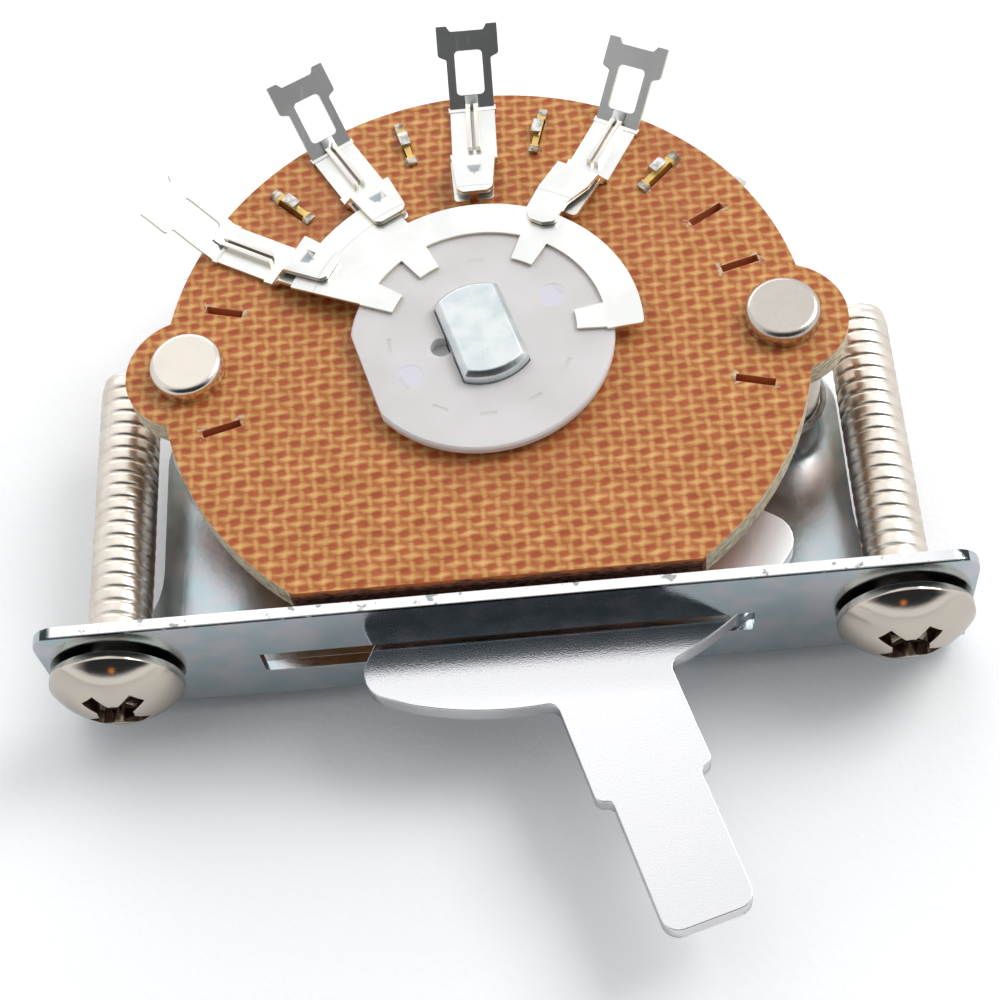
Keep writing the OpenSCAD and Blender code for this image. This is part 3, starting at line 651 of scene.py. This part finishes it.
def add_droop(material):
    """Tilt the lever's surface a few degrees forwards beside the slot."""
    tree, shader, place = opened(material)
    out = product(tree, axis(tree, place, "Y"), -1.0)
    drop = product(tree, smooth(tree, out, droop_start, droop_end), -droop)
    tilt = node(tree, "ShaderNodeBump", Height=drop, Strength=1.0, Distance=1.0)
    grain = feed(shader, "Normal").node
    connect(tree, grain.inputs["Normal"], tilt)


add_recess_grime(finishes["nickel"])
add_droop(finishes["lever_zinc"])
print("screws at", round(screw_x / MM, 2), "mm, droop", round(droop / MM, 2), "mm")

# %% [markdown]
# The wafer is cotton cloth in varnish. Wide threads run across and thin ones run up, in a plain
# over-and-under weave. The threads are a little twisted, so only every other gap between them
# opens, and there the red-brown resin shows. A checker of cells says which thread is on top.

# %% Woven laminate
thread_x = 0.7315 * MM
thread_y = 0.569 * MM
thread_sway = (0.55 * MM, 0.45 * MM, 0)


def weave_group():
    """Group: object position in, masks of the threads and of the gaps out."""
    group, given, result = new_tree(
        "plain_weave", "ShaderNodeTree",
        {"Position": "Vector", "Thread X": thread_x, "Thread Y": thread_y},
        {"Threads": "Float", "Gaps": "Float"})
    sway = node(group, "ShaderNodeTexNoise", "sway", Vector=given["Position"], Scale=450.0, Detail=3.0)
    shift = node(group, "ShaderNodeVectorMath", props={"operation": "MULTIPLY_ADD"})
    connect(group, shift.inputs[0], sway.outputs["Color"])
    shift.inputs[1].default_value = thread_sway
    connect(group, shift.inputs[2], given["Position"])
    u = maths(group, "DIVIDE", axis(group, shift, "X"), given["Thread X"])
    v = maths(group, "DIVIDE", axis(group, shift, "Y"), given["Thread Y"])

    def cell(offset):
        """Return the checker and the place inside a cell of the grid moved by offset."""
        a = maths(group, "ADD", u, offset)
        b = maths(group, "ADD", v, offset)
        count = maths(group, "ADD", maths(group, "FLOOR", a), maths(group, "FLOOR", b))
        checker = maths(group, "FLOORED_MODULO", count, 2.0)
        return (checker, maths(group, "SUBTRACT", maths(group, "FRACT", a), 0.5),
                maths(group, "SUBTRACT", maths(group, "FRACT", b), 0.5))

    def ellipse(a, b, wide, high):
        """Return 1 inside an ellipse, with a soft edge."""
        size = diagonal(group, maths(group, "DIVIDE", a, wide), maths(group, "DIVIDE", b, high))
        return inverse(group, smooth(group, size, 0.5, 1.5))

    upright, du, dv = cell(0.0)
    near = maths(group, "ABSOLUTE", du)
    far = inverse(group, near)
    turn = product(group, upright, maths(group, "SUBTRACT", far, near))
    across = ellipse(maths(group, "ADD", near, turn), dv, 0.68, 0.42)
    slant = maths(group, "ABSOLUTE", maths(group, "MULTIPLY_ADD", dv, 0.05, du))
    thin = product(group, inverse(group, smooth(group, slant, 0.06, 0.33)), upright, 0.7)
    parity, cu, cv = cell(0.5)
    open_gap = maths(group, "MULTIPLY_ADD", parity, 0.45, 0.55)
    covered = maths(group, "MULTIPLY_ADD", thin, -0.6, 1.0)
    connect(group, result["Threads"], maths(group, "MAXIMUM", across, thin))
    connect(group, result["Gaps"], product(group, ellipse(cu, cv, 0.50, 0.43), open_gap, covered))
    return group


weave = weave_group()
print("threads of", round(thread_x / MM, 2), "by", round(thread_y / MM, 2), "mm")

# %% [markdown]
# The wafer's edges were punched: the sides are fibrous and pale, the straight front edge and the
# insides of the slots are dark with resin, and the slots have torn pale rims at their ends.

# %% Slots of the wafer
slot_radius = 14.65 * MM
slot_half_length = 1.06 * MM
slot_half_width = 0.23 * MM
rim_width = 0.25 * MM
first_slot_y = spindle_y - 4.4 * MM
rivet_clearance = 2.4 * MM


def slot_masks(tree, place):
    """Return masks of the torn slot rims and of the slot walls."""
    radius, offset = polar(tree, place, 0.0, slot_step)
    beside = maths(tree, "SUBTRACT", maths(tree, "ABSOLUTE", offset), slot_half_width)
    beyond = maths(tree, "SUBTRACT", away(tree, radius, slot_radius), slot_half_length)
    far = maths(tree, "MAXIMUM", beside, beyond)
    torn = smooth(tree, noise(tree, "torn", place, 2600.0, 3.0), 0.42, 0.6)
    at_end = smooth(tree, beyond, -0.5 * MM, 0.1 * MM)
    reach = product(tree, torn, maths(tree, "MULTIPLY_ADD", at_end, rim_width, 0.01 * MM))
    y = axis(tree, place, "Y")
    behind = maths(tree, "GREATER_THAN", y, first_slot_y)
    clear_of_rivets = maths(tree, "GREATER_THAN", away(tree, y, spindle_y), rivet_clearance)
    slotted = product(tree, behind, clear_of_rivets)
    rim = product(tree, maths(tree, "LESS_THAN", far, reach), slotted)
    wall = product(tree, maths(tree, "LESS_THAN", far, 0.02 * MM), slotted)
    return rim, wall


print("slots of", round(2 * slot_half_length / MM, 2), "by", round(2 * slot_half_width / MM, 2), "mm")

# %% [markdown]
# The laminate's face is threads and gaps over resin, with blotches, a slow drift of tone and a few
# dark specks. Its cut edges show the layers of cloth from the side, so the noise there is
# stretched flat. Varnish gives the face some gloss, and the cut and torn places stay rough.

# %% Laminate
front_cut_y = spindle_y - 13.9 * MM


def cut_color(tree, place, fibre, blotch, wall):
    """Return the colour of the wafer's cut edges: pale sides, dark front and slot walls."""
    side_cut = mix(tree, fibre, (0.50, 0.39, 0.25), (0.90, 0.80, 0.61))
    front_cut = mix(tree, fibre, (0.08, 0.026, 0.016), (0.34, 0.14, 0.085))
    ragged = maths(tree, "MULTIPLY_ADD", blotch, 1.2 * MM, axis(tree, place, "Z"))
    upper = smooth(tree, ragged, wafer_top + 0.28 * MM, wafer_top + 0.42 * MM)
    front_cut = mix(tree, upper, front_cut, (0.55, 0.15, 0.04))
    front = maths(tree, "LESS_THAN", axis(tree, place, "Y"), front_cut_y)
    return coated(tree, side_cut, (front, front_cut), (wall, (0.62, 0.22, 0.09)))


def stain_mask(tree, place):
    """Return a mask of a few small dark specks."""
    speck = node(tree, "ShaderNodeTexVoronoi", "specks", Vector=place, Scale=330.0)
    dot = maths(tree, "LESS_THAN", speck.outputs["Distance"], 0.06)
    chosen = maths(tree, "GREATER_THAN", axis(tree, speck.outputs["Color"], "X"), 0.88)
    return product(tree, dot, chosen)


def laminate():
    """Return the varnished laminate with fibrous pale edges and worn slot rims."""
    material, tree, shader, place = new_material("phenolic")
    turned = node(tree, "ShaderNodeMapping", Vector=place)
    turned.inputs["Rotation"].default_value = (0, 0, math.radians(2))
    cloth = placed(tree, weave, Position=turned)
    threads, gaps = cloth.outputs["Threads"], cloth.outputs["Gaps"]
    layers = node(tree, "ShaderNodeMapping", Vector=place)
    layers.inputs["Scale"].default_value = (0.45, 0.45, 1.6)
    strands = noise(tree, "strands", layers, 4800.0, 4.0)
    fibre = smooth(tree, strands, 0.35, 0.65)
    blotch = noise(tree, "blotches", place, 900.0, 4.0, Roughness=0.6)
    drift = smooth(tree, noise(tree, "drift", place, 110.0, 2.0), 0.5, 0.75)
    rim, wall = slot_masks(tree, place)
    side = placed(tree, cut_edge, Steepness=0.5).outputs["Mask"]
    thread = mix(tree, smooth(tree, blotch, 0.3, 0.7), (0.65, 0.34, 0.10), (0.82, 0.49, 0.18))
    gap = mix(tree, smooth(tree, blotch, 0.35, 0.7), (0.37, 0.062, 0.016), (0.48, 0.105, 0.026))
    color = coated(
        tree, (0.49, 0.165, 0.037),
        (threads, thread),
        (product(tree, gaps, 0.92), gap),
        (product(tree, drift, 0.35), (0.42, 0.12, 0.05)),
        (product(tree, stain_mask(tree, place), 0.75), (0.06, 0.045, 0.04)),
        (rim, mix(tree, fibre, (0.36, 0.15, 0.07), (0.72, 0.55, 0.38))),
        (side, cut_color(tree, place, fibre, blotch, wall)))
    connect(tree, shader.inputs["Base Color"], color)
    rough = maths(tree, "MULTIPLY_ADD", maths(tree, "MAXIMUM", side, rim), 0.4, 0.42)
    connect(tree, shader.inputs["Roughness"], rough)
    shader.inputs["Specular IOR Level"].default_value = 0.3
    cloth_height = maths(tree, "SUBTRACT", threads, gaps)
    coarse = maths(tree, "MULTIPLY_ADD", side, 2.5, 0.15)
    relief = maths(tree, "MULTIPLY_ADD", strands, coarse, cloth_height)
    emboss(tree, shader, relief, 0.4, 0.00004)
    return material


finishes["phenolic"] = laminate()
print("laminate nodes:", len(finishes["phenolic"].node_tree.nodes))

# %% [markdown]
# The rotor is moulded nylon: milky, slightly mauve where it is thick, with two paler round marks
# from the mould's ejector pins and faint beige marks where spare tab slots are.

# %% Nylon
rotor_turn = math.radians(16.5)
pin_spoke = rotor_turn + math.radians(13)
pin_radius = 4.5 * MM
mark_spoke = rotor_turn - math.radians(45)
mark_radius = 4.98 * MM
mark_half_depth = 0.13 * MM
mark_half_width = 0.47 * MM


def nylon():
    """Return milky moulded nylon, which lets a little light in."""
    material, tree, shader, place = new_material("nylon")
    cloud = smooth(tree, noise(tree, "cloud", place, 260.0, 2.0), 0.3, 0.7)
    milky = mix(tree, cloud, (0.70, 0.67, 0.665), (0.76, 0.74, 0.735))
    radius, offset = polar(tree, place, pin_spoke, math.pi)
    reach = diagonal(tree, maths(tree, "SUBTRACT", radius, pin_radius), offset)
    pin = inverse(tree, smooth(tree, reach, 0.62 * MM, 0.8 * MM))
    radius, offset = polar(tree, place, mark_spoke, terminal_step)
    thick = maths(tree, "LESS_THAN", away(tree, radius, mark_radius), mark_half_depth)
    wide = maths(tree, "LESS_THAN", maths(tree, "ABSOLUTE", offset), mark_half_width)
    mark = product(tree, thick, wide, 0.3)
    color = coated(tree, milky, (pin, (0.74, 0.73, 0.80)), (mark, (0.60, 0.56, 0.48)))
    connect(tree, shader.inputs["Base Color"], color)
    shader.inputs["Roughness"].default_value = 0.45
    shader.inputs["Specular IOR Level"].default_value = 0.4
    shader.inputs["Subsurface Weight"].default_value = 0.5
    shader.inputs["Subsurface Radius"].default_value = (1.0, 0.95, 0.95)
    shader.inputs["Subsurface Scale"].default_value = 0.6 * MM
    emboss(tree, shader, noise(tree, "skin", place, 3000.0, 2.0), 0.15, 0.00002)
    return material


finishes["nylon"] = nylon()
for name, finish in slot_of.items():
    mesh = bpy.data.objects[name].data
    mesh.materials.clear()
    mesh.materials.append(finishes[finish])
print("finishes on nodes:", len(slot_of))

# %% [markdown]
# No punched or turned part has a knife edge: the light always catches a small rounding. A merged
# copy of each metal piece gets one from the Bevel modifier, and Weighted Normal keeps its flat
# faces flat. The copy then stands for the CAD node.

# %% Rounded copies
# The left rivet gets the lighter nickel as painted light, and the right rivet the darker one as painted
# shade.
own_finish = {"left_rivet": "rivet_nickel", "right_rivet": "dull_nickel"}
mark_reach = 6 * MM
mark_depth = 0.015 * MM


def merged_copy(source_name):
    """Return a copy of a CAD node's mesh, with its triangles joined into clean faces."""
    shape = bmesh.new()
    shape.from_mesh(bpy.data.objects[source_name].data)
    bmesh.ops.remove_doubles(shape, verts=shape.verts, dist=0.0005 * MM)
    bmesh.ops.dissolve_limit(shape, angle_limit=math.radians(0.5), verts=shape.verts, edges=shape.edges)
    return shape


def declare(piece, source_name):
    """Hide a CAD node, and let a piece that takes its place move with its body."""
    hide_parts(source_name)
    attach(piece, body_of[source_name])


def to_piece(shape, source_name, rounding):
    """Finish a mesh as a piece with rounded edges that stands for its CAD node."""
    name = "dressed_" + source_name
    mesh = bpy.data.meshes.new(name)
    shape.to_mesh(mesh)
    shape.free()
    mesh.polygons.foreach_set("use_smooth", [True] * len(mesh.polygons))
    piece = bpy.data.objects.new(name, mesh)
    scene.collection.objects.link(piece)
    bevel = piece.modifiers.new("rounding", "BEVEL")
    bevel.width = rounding
    bevel.segments = 2
    bevel.limit_method = "ANGLE"
    bevel.angle_limit = math.radians(32)
    bevel.use_clamp_overlap = True
    piece.modifiers.new("flat_faces", "WEIGHTED_NORMAL").mode = "FACE_AREA"
    depsgraph = bpy.context.evaluated_depsgraph_get()
    piece.data = bpy.data.meshes.new_from_object(piece.evaluated_get(depsgraph))
    piece.data.name = name
    piece.modifiers.clear()
    piece.data.materials.clear()
    piece.data.materials.append(finishes[own_finish.get(source_name, slot_of[source_name])])
    declare(piece, source_name)
    return piece


def level_marks(shape):
    """Make the rotor's spare slots and pin marks skin deep, as where the mould has worn."""
    face = max(vert.co.z for vert in shape.verts)
    for vert in shape.verts:
        near = math.hypot(vert.co.x, vert.co.y - spindle_y) < mark_reach
        if near and 0.01 * MM < face - vert.co.z < 0.3 * MM:
            vert.co.z = face - mark_depth


roundings = {
    "frame": 0.03, "lever": 0.07, "spindle": 0.1, "rotor": 0.03,
    "front_contact_ring": 0.04, "back_contact_ring": 0.04,
    "left_rivet": 0.04, "right_rivet": 0.04,
}
for name, width in roundings.items():
    shape = merged_copy(name)
    if name == "rotor":
        level_marks(shape)
    piece = to_piece(shape, name, width * MM)
    print(piece.name, len(piece.data.polygons), "faces")

# %% [markdown]
# Nobody bends lugs twice the same way. On the real switch three of the upper lugs lean a little
# to one side. Their copies are turned about the bend, more and more over the first 0.8 mm past
# it. Three of the lower terminals sit a little to one side in their slots. All this is done
# before the edges are rounded.

# %% Lugs that lean
bend_radius = 16.4 * MM
lean_over = 0.8 * MM
bar_start, bar_end = 14.44 * MM, 15.38 * MM
bar_height = 0.3 * MM
clear_of_face = 0.02 * MM
terminal_rounding = 0.025 * MM


def spoke_way(spoke):
    """Return the direction of a spoke, given in degrees."""
    return Vector((math.cos(math.radians(spoke)), math.sin(math.radians(spoke)), 0))


def lean(shape, spoke, degrees):
    """Turn the part of a terminal past its bend sideways."""
    out = spoke_way(spoke)
    hinge = Vector((0, spindle_y, 0)) + out * bend_radius
    for vert in shape.verts:
        past = (vert.co - hinge).dot(out)
        if past > 0:
            share = min(past / lean_over, 1.0)
            turn = Matrix.Rotation(math.radians(degrees) * share, 4, "Z")
            vert.co = hinge + turn @ (vert.co - hinge)


def nudge(shape, spoke, leg_shift, bar_shift):
    """Move a lower terminal's tabs, and the bar on its leg, sideways above the wafer."""
    out = spoke_way(spoke)
    across = Vector((-out.y, out.x, 0))
    for vert in shape.verts:
        height = vert.co.z - wafer_top
        along = (vert.co - Vector((0, spindle_y, 0))).dot(out)
        if height > bar_height and bar_start < along < bar_end:
            vert.co += across * bar_shift * MM
        elif height > clear_of_face:
            vert.co += across * leg_shift * MM


nudges = {
    "back_terminal_1": (-0.18, -0.05), "back_terminal_3": (0.0, -0.15),
    "back_common_terminal": (0.15, 0.0),
}
terminals = {
    "front_terminal_1": (150, 0.0), "front_terminal_2": (120, -3.0), "front_terminal_3": (90, -1.4),
    "front_common_terminal": (60, 3.3), "back_terminal_1": (135, 0.0), "back_terminal_2": (105, 0.0),
    "back_terminal_3": (75, 0.0), "back_common_terminal": (45, 0.0),
}
for name, (spoke, degrees) in terminals.items():
    shape = merged_copy(name)
    lean(shape, spoke, degrees)
    if name in nudges:
        nudge(shape, spoke, *nudges[name])
    piece = to_piece(shape, name, terminal_rounding)
    print(piece.name, len(piece.data.polygons), "faces, leans", degrees)

# %% [markdown]
# The threads of the mounting screws repeat one shape along a helix, so Geometry Nodes make them.
# A grid is rolled into a tube. The radius follows how far a point is along the pitch, which
# gives the helical ridge, and it fades out at the tip. The grid's first and last rows shrink to
# a point, so that the tube is closed.

# %% Thread tree
crest_radius = 1.7 * MM
root_radius = 1.55 * MM
thread_pitch = 0.794 * MM
thread_rows = 320
thread_sides = 32
crest_flatness = 6.0
end_share = 0.0005


def thread_tree():
    """Geometry Nodes: one threaded shank along +Y, from the origin to its length."""
    tree, given, result = new_tree(
        "screw_thread", "GeometryNodeTree",
        {"Geometry": "Geometry", "Length": 18.0 * MM, "Crest Radius": crest_radius,
         "Root Radius": root_radius, "Pitch": thread_pitch, "Rows": thread_rows,
         "Material": "Material"},
        {"Geometry": "Geometry"})
    grid = node(tree, "GeometryNodeMeshGrid", Size_X=1.0, Size_Y=1.0, Vertices_X=thread_sides + 1,
                Vertices_Y=given["Rows"])
    spot = node(tree, "GeometryNodeInputPosition")
    around = maths(tree, "ADD", axis(tree, spot, "X"), 0.5)
    along = maths(tree, "ADD", axis(tree, spot, "Y"), 0.5)
    height = product(tree, along, given["Length"])
    turns = maths(tree, "DIVIDE", height, given["Pitch"])
    phase = maths(tree, "FRACT", maths(tree, "SUBTRACT", turns, around))
    slope = maths(tree, "ABSOLUTE", maths(tree, "MULTIPLY_ADD", phase, 2.0, -1.0))
    ridge = inverse(tree, maths(tree, "POWER", slope, crest_flatness))
    left = maths(tree, "SUBTRACT", given["Length"], height)
    fade = maths(tree, "MINIMUM", maths(tree, "DIVIDE", left, given["Pitch"]), 1.0)
    depth = maths(tree, "SUBTRACT", given["Crest Radius"], given["Root Radius"])
    radius = maths(tree, "ADD", given["Root Radius"], product(tree, ridge, fade, depth))
    inside = product(tree, maths(tree, "GREATER_THAN", along, end_share),
                     maths(tree, "LESS_THAN", along, 1 - end_share))
    radius = product(tree, radius, inside)
    angle = product(tree, around, 2 * math.pi)
    rolled = node(tree, "ShaderNodeCombineXYZ", Y=height,
                  X=product(tree, radius, maths(tree, "COSINE", angle)),
                  Z=product(tree, radius, maths(tree, "SINE", angle)))
    bent = node(tree, "GeometryNodeSetPosition", Geometry=grid.outputs["Mesh"], Position=rolled)
    closed = node(tree, "GeometryNodeMergeByDistance", Geometry=bent, Distance=0.002 * MM)
    smoothed = node(tree, "GeometryNodeSetShadeSmooth", Geometry=closed)
    whole = node(tree, "GeometryNodeRealizeInstances", Geometry=smoothed)
    shown = node(tree, "GeometryNodeSetMaterial", Geometry=whole, Material=given["Material"])
    connect(tree, result[0], shown)
    return tree


screw_thread = thread_tree()
print("thread tree nodes:", len(screw_thread.nodes))

# %% [markdown]
# A tree gives its mesh through a modifier. The modifier sits on an empty object just long enough
# to set the tree's inputs, each by its socket's identifier, and to copy the result.

# %% Run a tree
def grown(tree, name, **values):
    """Run a Geometry Nodes tree on an empty mesh and return the result as a plain mesh."""
    seed = bpy.data.objects.new(name, bpy.data.meshes.new(name))
    scene.collection.objects.link(seed)
    modifier = seed.modifiers.new(name, "NODES")
    modifier.node_group = tree
    for item in tree.interface.items_tree:
        key = item.name.replace(" ", "_")
        if item.in_out == "INPUT" and key in values:
            modifier[item.identifier] = values[key]
    depsgraph = bpy.context.evaluated_depsgraph_get()
    mesh = bpy.data.meshes.new_from_object(seed.evaluated_get(depsgraph))
    bpy.data.objects.remove(seed)
    return mesh


print("trees can be run, the first is", screw_thread.name)

# %% [markdown]
# A mounting screw is its CAD head with a threaded shank in place of the plain one. The plain
# shank is cut away under the head, and the threaded one starts inside the head.

# %% Mounting screws
shank_start = -0.5 * MM
stub_end = -0.25 * MM
stub_share = 0.6
head_rounding = 0.05 * MM


def mounting_screw(source_name):
    """Make a rounded copy of the CAD head and a separate threaded shank, both moving with the screw's
    body.
    """
    low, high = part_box(source_name)
    centre_x = (low[0] + high[0]) / 2
    shape = merged_copy(source_name)
    for vert in shape.verts:
        if vert.co.y > stub_end:
            vert.co.y = stub_end
            offset = Vector((vert.co.x - centre_x, 0, vert.co.z))
            vert.co = Vector((centre_x, vert.co.y, 0)) + offset * stub_share
    piece = to_piece(shape, source_name, head_rounding)
    shank = grown(screw_thread, "shank", Length=high[1] - shank_start, Crest_Radius=crest_radius,
                  Root_Radius=root_radius, Pitch=thread_pitch, Rows=thread_rows,
                  Material=finishes["thread_nickel"])
    thread = bmesh.new()
    thread.from_mesh(shank)
    bmesh.ops.recalc_face_normals(thread, faces=thread.faces)
    bmesh.ops.translate(thread, vec=(centre_x, shank_start, 0), verts=thread.verts)
    thread.to_mesh(shank)
    thread.free()
    part = bpy.data.objects.new("thread_of_" + source_name, shank)
    scene.collection.objects.link(part)
    declare(part, source_name)
    return piece, part


for name in ("left_mounting_screw", "right_mounting_screw"):
    head, thread = mounting_screw(name)
    print(head.name, len(head.data.polygons), "faces,", thread.name, len(thread.data.polygons), "faces")

# %% [markdown]
# Cut cloth frays. Short bent fibres stand out of the wafer's round edge. They repeat along an arc,
# so Geometry Nodes scatter them: an arc becomes points, and each point carries one thin cone with
# its own turn and length.

# %% Fibre tree
wafer_radius = 17.43 * MM
fibre_length = 0.32 * MM
fibre_tip, fibre_root = 0.004 * MM, 0.014 * MM
arc_points = 256
fibre_count = 420
fibre_seed = 7
least_turn, most_turn = (0.9, -1.0, -3.14), (2.2, 1.0, 3.14)
least_size, most_size = 0.4, 1.3


def fibre_tree():
    """Geometry Nodes: loose fibres on the cylinder wall of the wafer."""
    tree, given, result = new_tree(
        "edge_fibres", "GeometryNodeTree",
        {"Geometry": "Geometry", "Radius": wafer_radius, "Start": 0.0, "Sweep": 1.0,
         "Thickness": wafer_thickness, "Fibre Length": fibre_length, "Count": fibre_count,
         "Seed": fibre_seed, "Material": "Material"},
        {"Geometry": "Geometry"})
    arc = node(tree, "GeometryNodeCurveArc", Radius=given["Radius"], Start_Angle=given["Start"],
               Sweep_Angle=given["Sweep"], Resolution=arc_points)
    points = node(tree, "GeometryNodeCurveToPoints", Curve=arc.outputs[0], Count=given["Count"])
    down = node(tree, "FunctionNodeRandomValue", props={"data_type": "FLOAT"}, Seed=given["Seed"])
    drop = product(tree, down.outputs[1], given["Thickness"], -1.0)
    offset = node(tree, "ShaderNodeCombineXYZ", Z=drop)
    spread = node(tree, "GeometryNodeSetPosition", Geometry=points.outputs["Points"], Offset=offset)
    fibre = node(tree, "GeometryNodeMeshCone", Vertices=4, Radius_Top=fibre_tip,
                 Radius_Bottom=fibre_root, Depth=given["Fibre Length"])
    turn = node(tree, "FunctionNodeRandomValue", props={"data_type": "FLOAT_VECTOR"},
                Seed=given["Seed"])
    turn.inputs[0].default_value = least_turn
    turn.inputs[1].default_value = most_turn
    size = node(tree, "FunctionNodeRandomValue", props={"data_type": "FLOAT"})
    size.inputs[2].default_value = least_size
    size.inputs[3].default_value = most_size
    standing = node(tree, "GeometryNodeInstanceOnPoints", Points=spread,
                    Instance=fibre.outputs["Mesh"], Rotation=turn.outputs[0], Scale=size.outputs[1])
    whole = node(tree, "GeometryNodeRealizeInstances", Geometry=standing)
    shown = node(tree, "GeometryNodeSetMaterial", Geometry=whole, Material=given["Material"])
    connect(tree, result[0], shown)
    return tree


edge_fibres = fibre_tree()
print("fibre tree nodes:", len(edge_fibres.nodes))

# %% [markdown]
# The fibres are bare cotton, paler than the varnished face. The arc runs round the wafer from one
# end of its straight front cut to the other.

# %% Loose fibres
cotton, tree, shader, place = new_material("cotton_fibre")
tone = smooth(tree, noise(tree, "tone", place, 900.0, 2.0), 0.35, 0.65)
connect(tree, shader.inputs["Base Color"], mix(tree, tone, (0.42, 0.33, 0.20), (0.76, 0.70, 0.56)))
shader.inputs["Roughness"].default_value = 0.8

cut_angle = math.radians(53.6)
mesh = grown(edge_fibres, "fibres", Radius=wafer_radius, Start=-cut_angle,
             Sweep=math.pi + 2 * cut_angle, Thickness=wafer_thickness, Fibre_Length=fibre_length,
             Count=fibre_count, Seed=fibre_seed, Material=cotton)
shape = bmesh.new()
shape.from_mesh(mesh)
bmesh.ops.translate(shape, vec=(0, spindle_y, wafer_top), verts=shape.verts)
shape.to_mesh(mesh)
shape.free()
fibres = bpy.data.objects.new("loose_fibres", mesh)
scene.collection.objects.link(fibres)
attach(fibres, "frame")
print("fibres:", len(mesh.polygons), "faces")
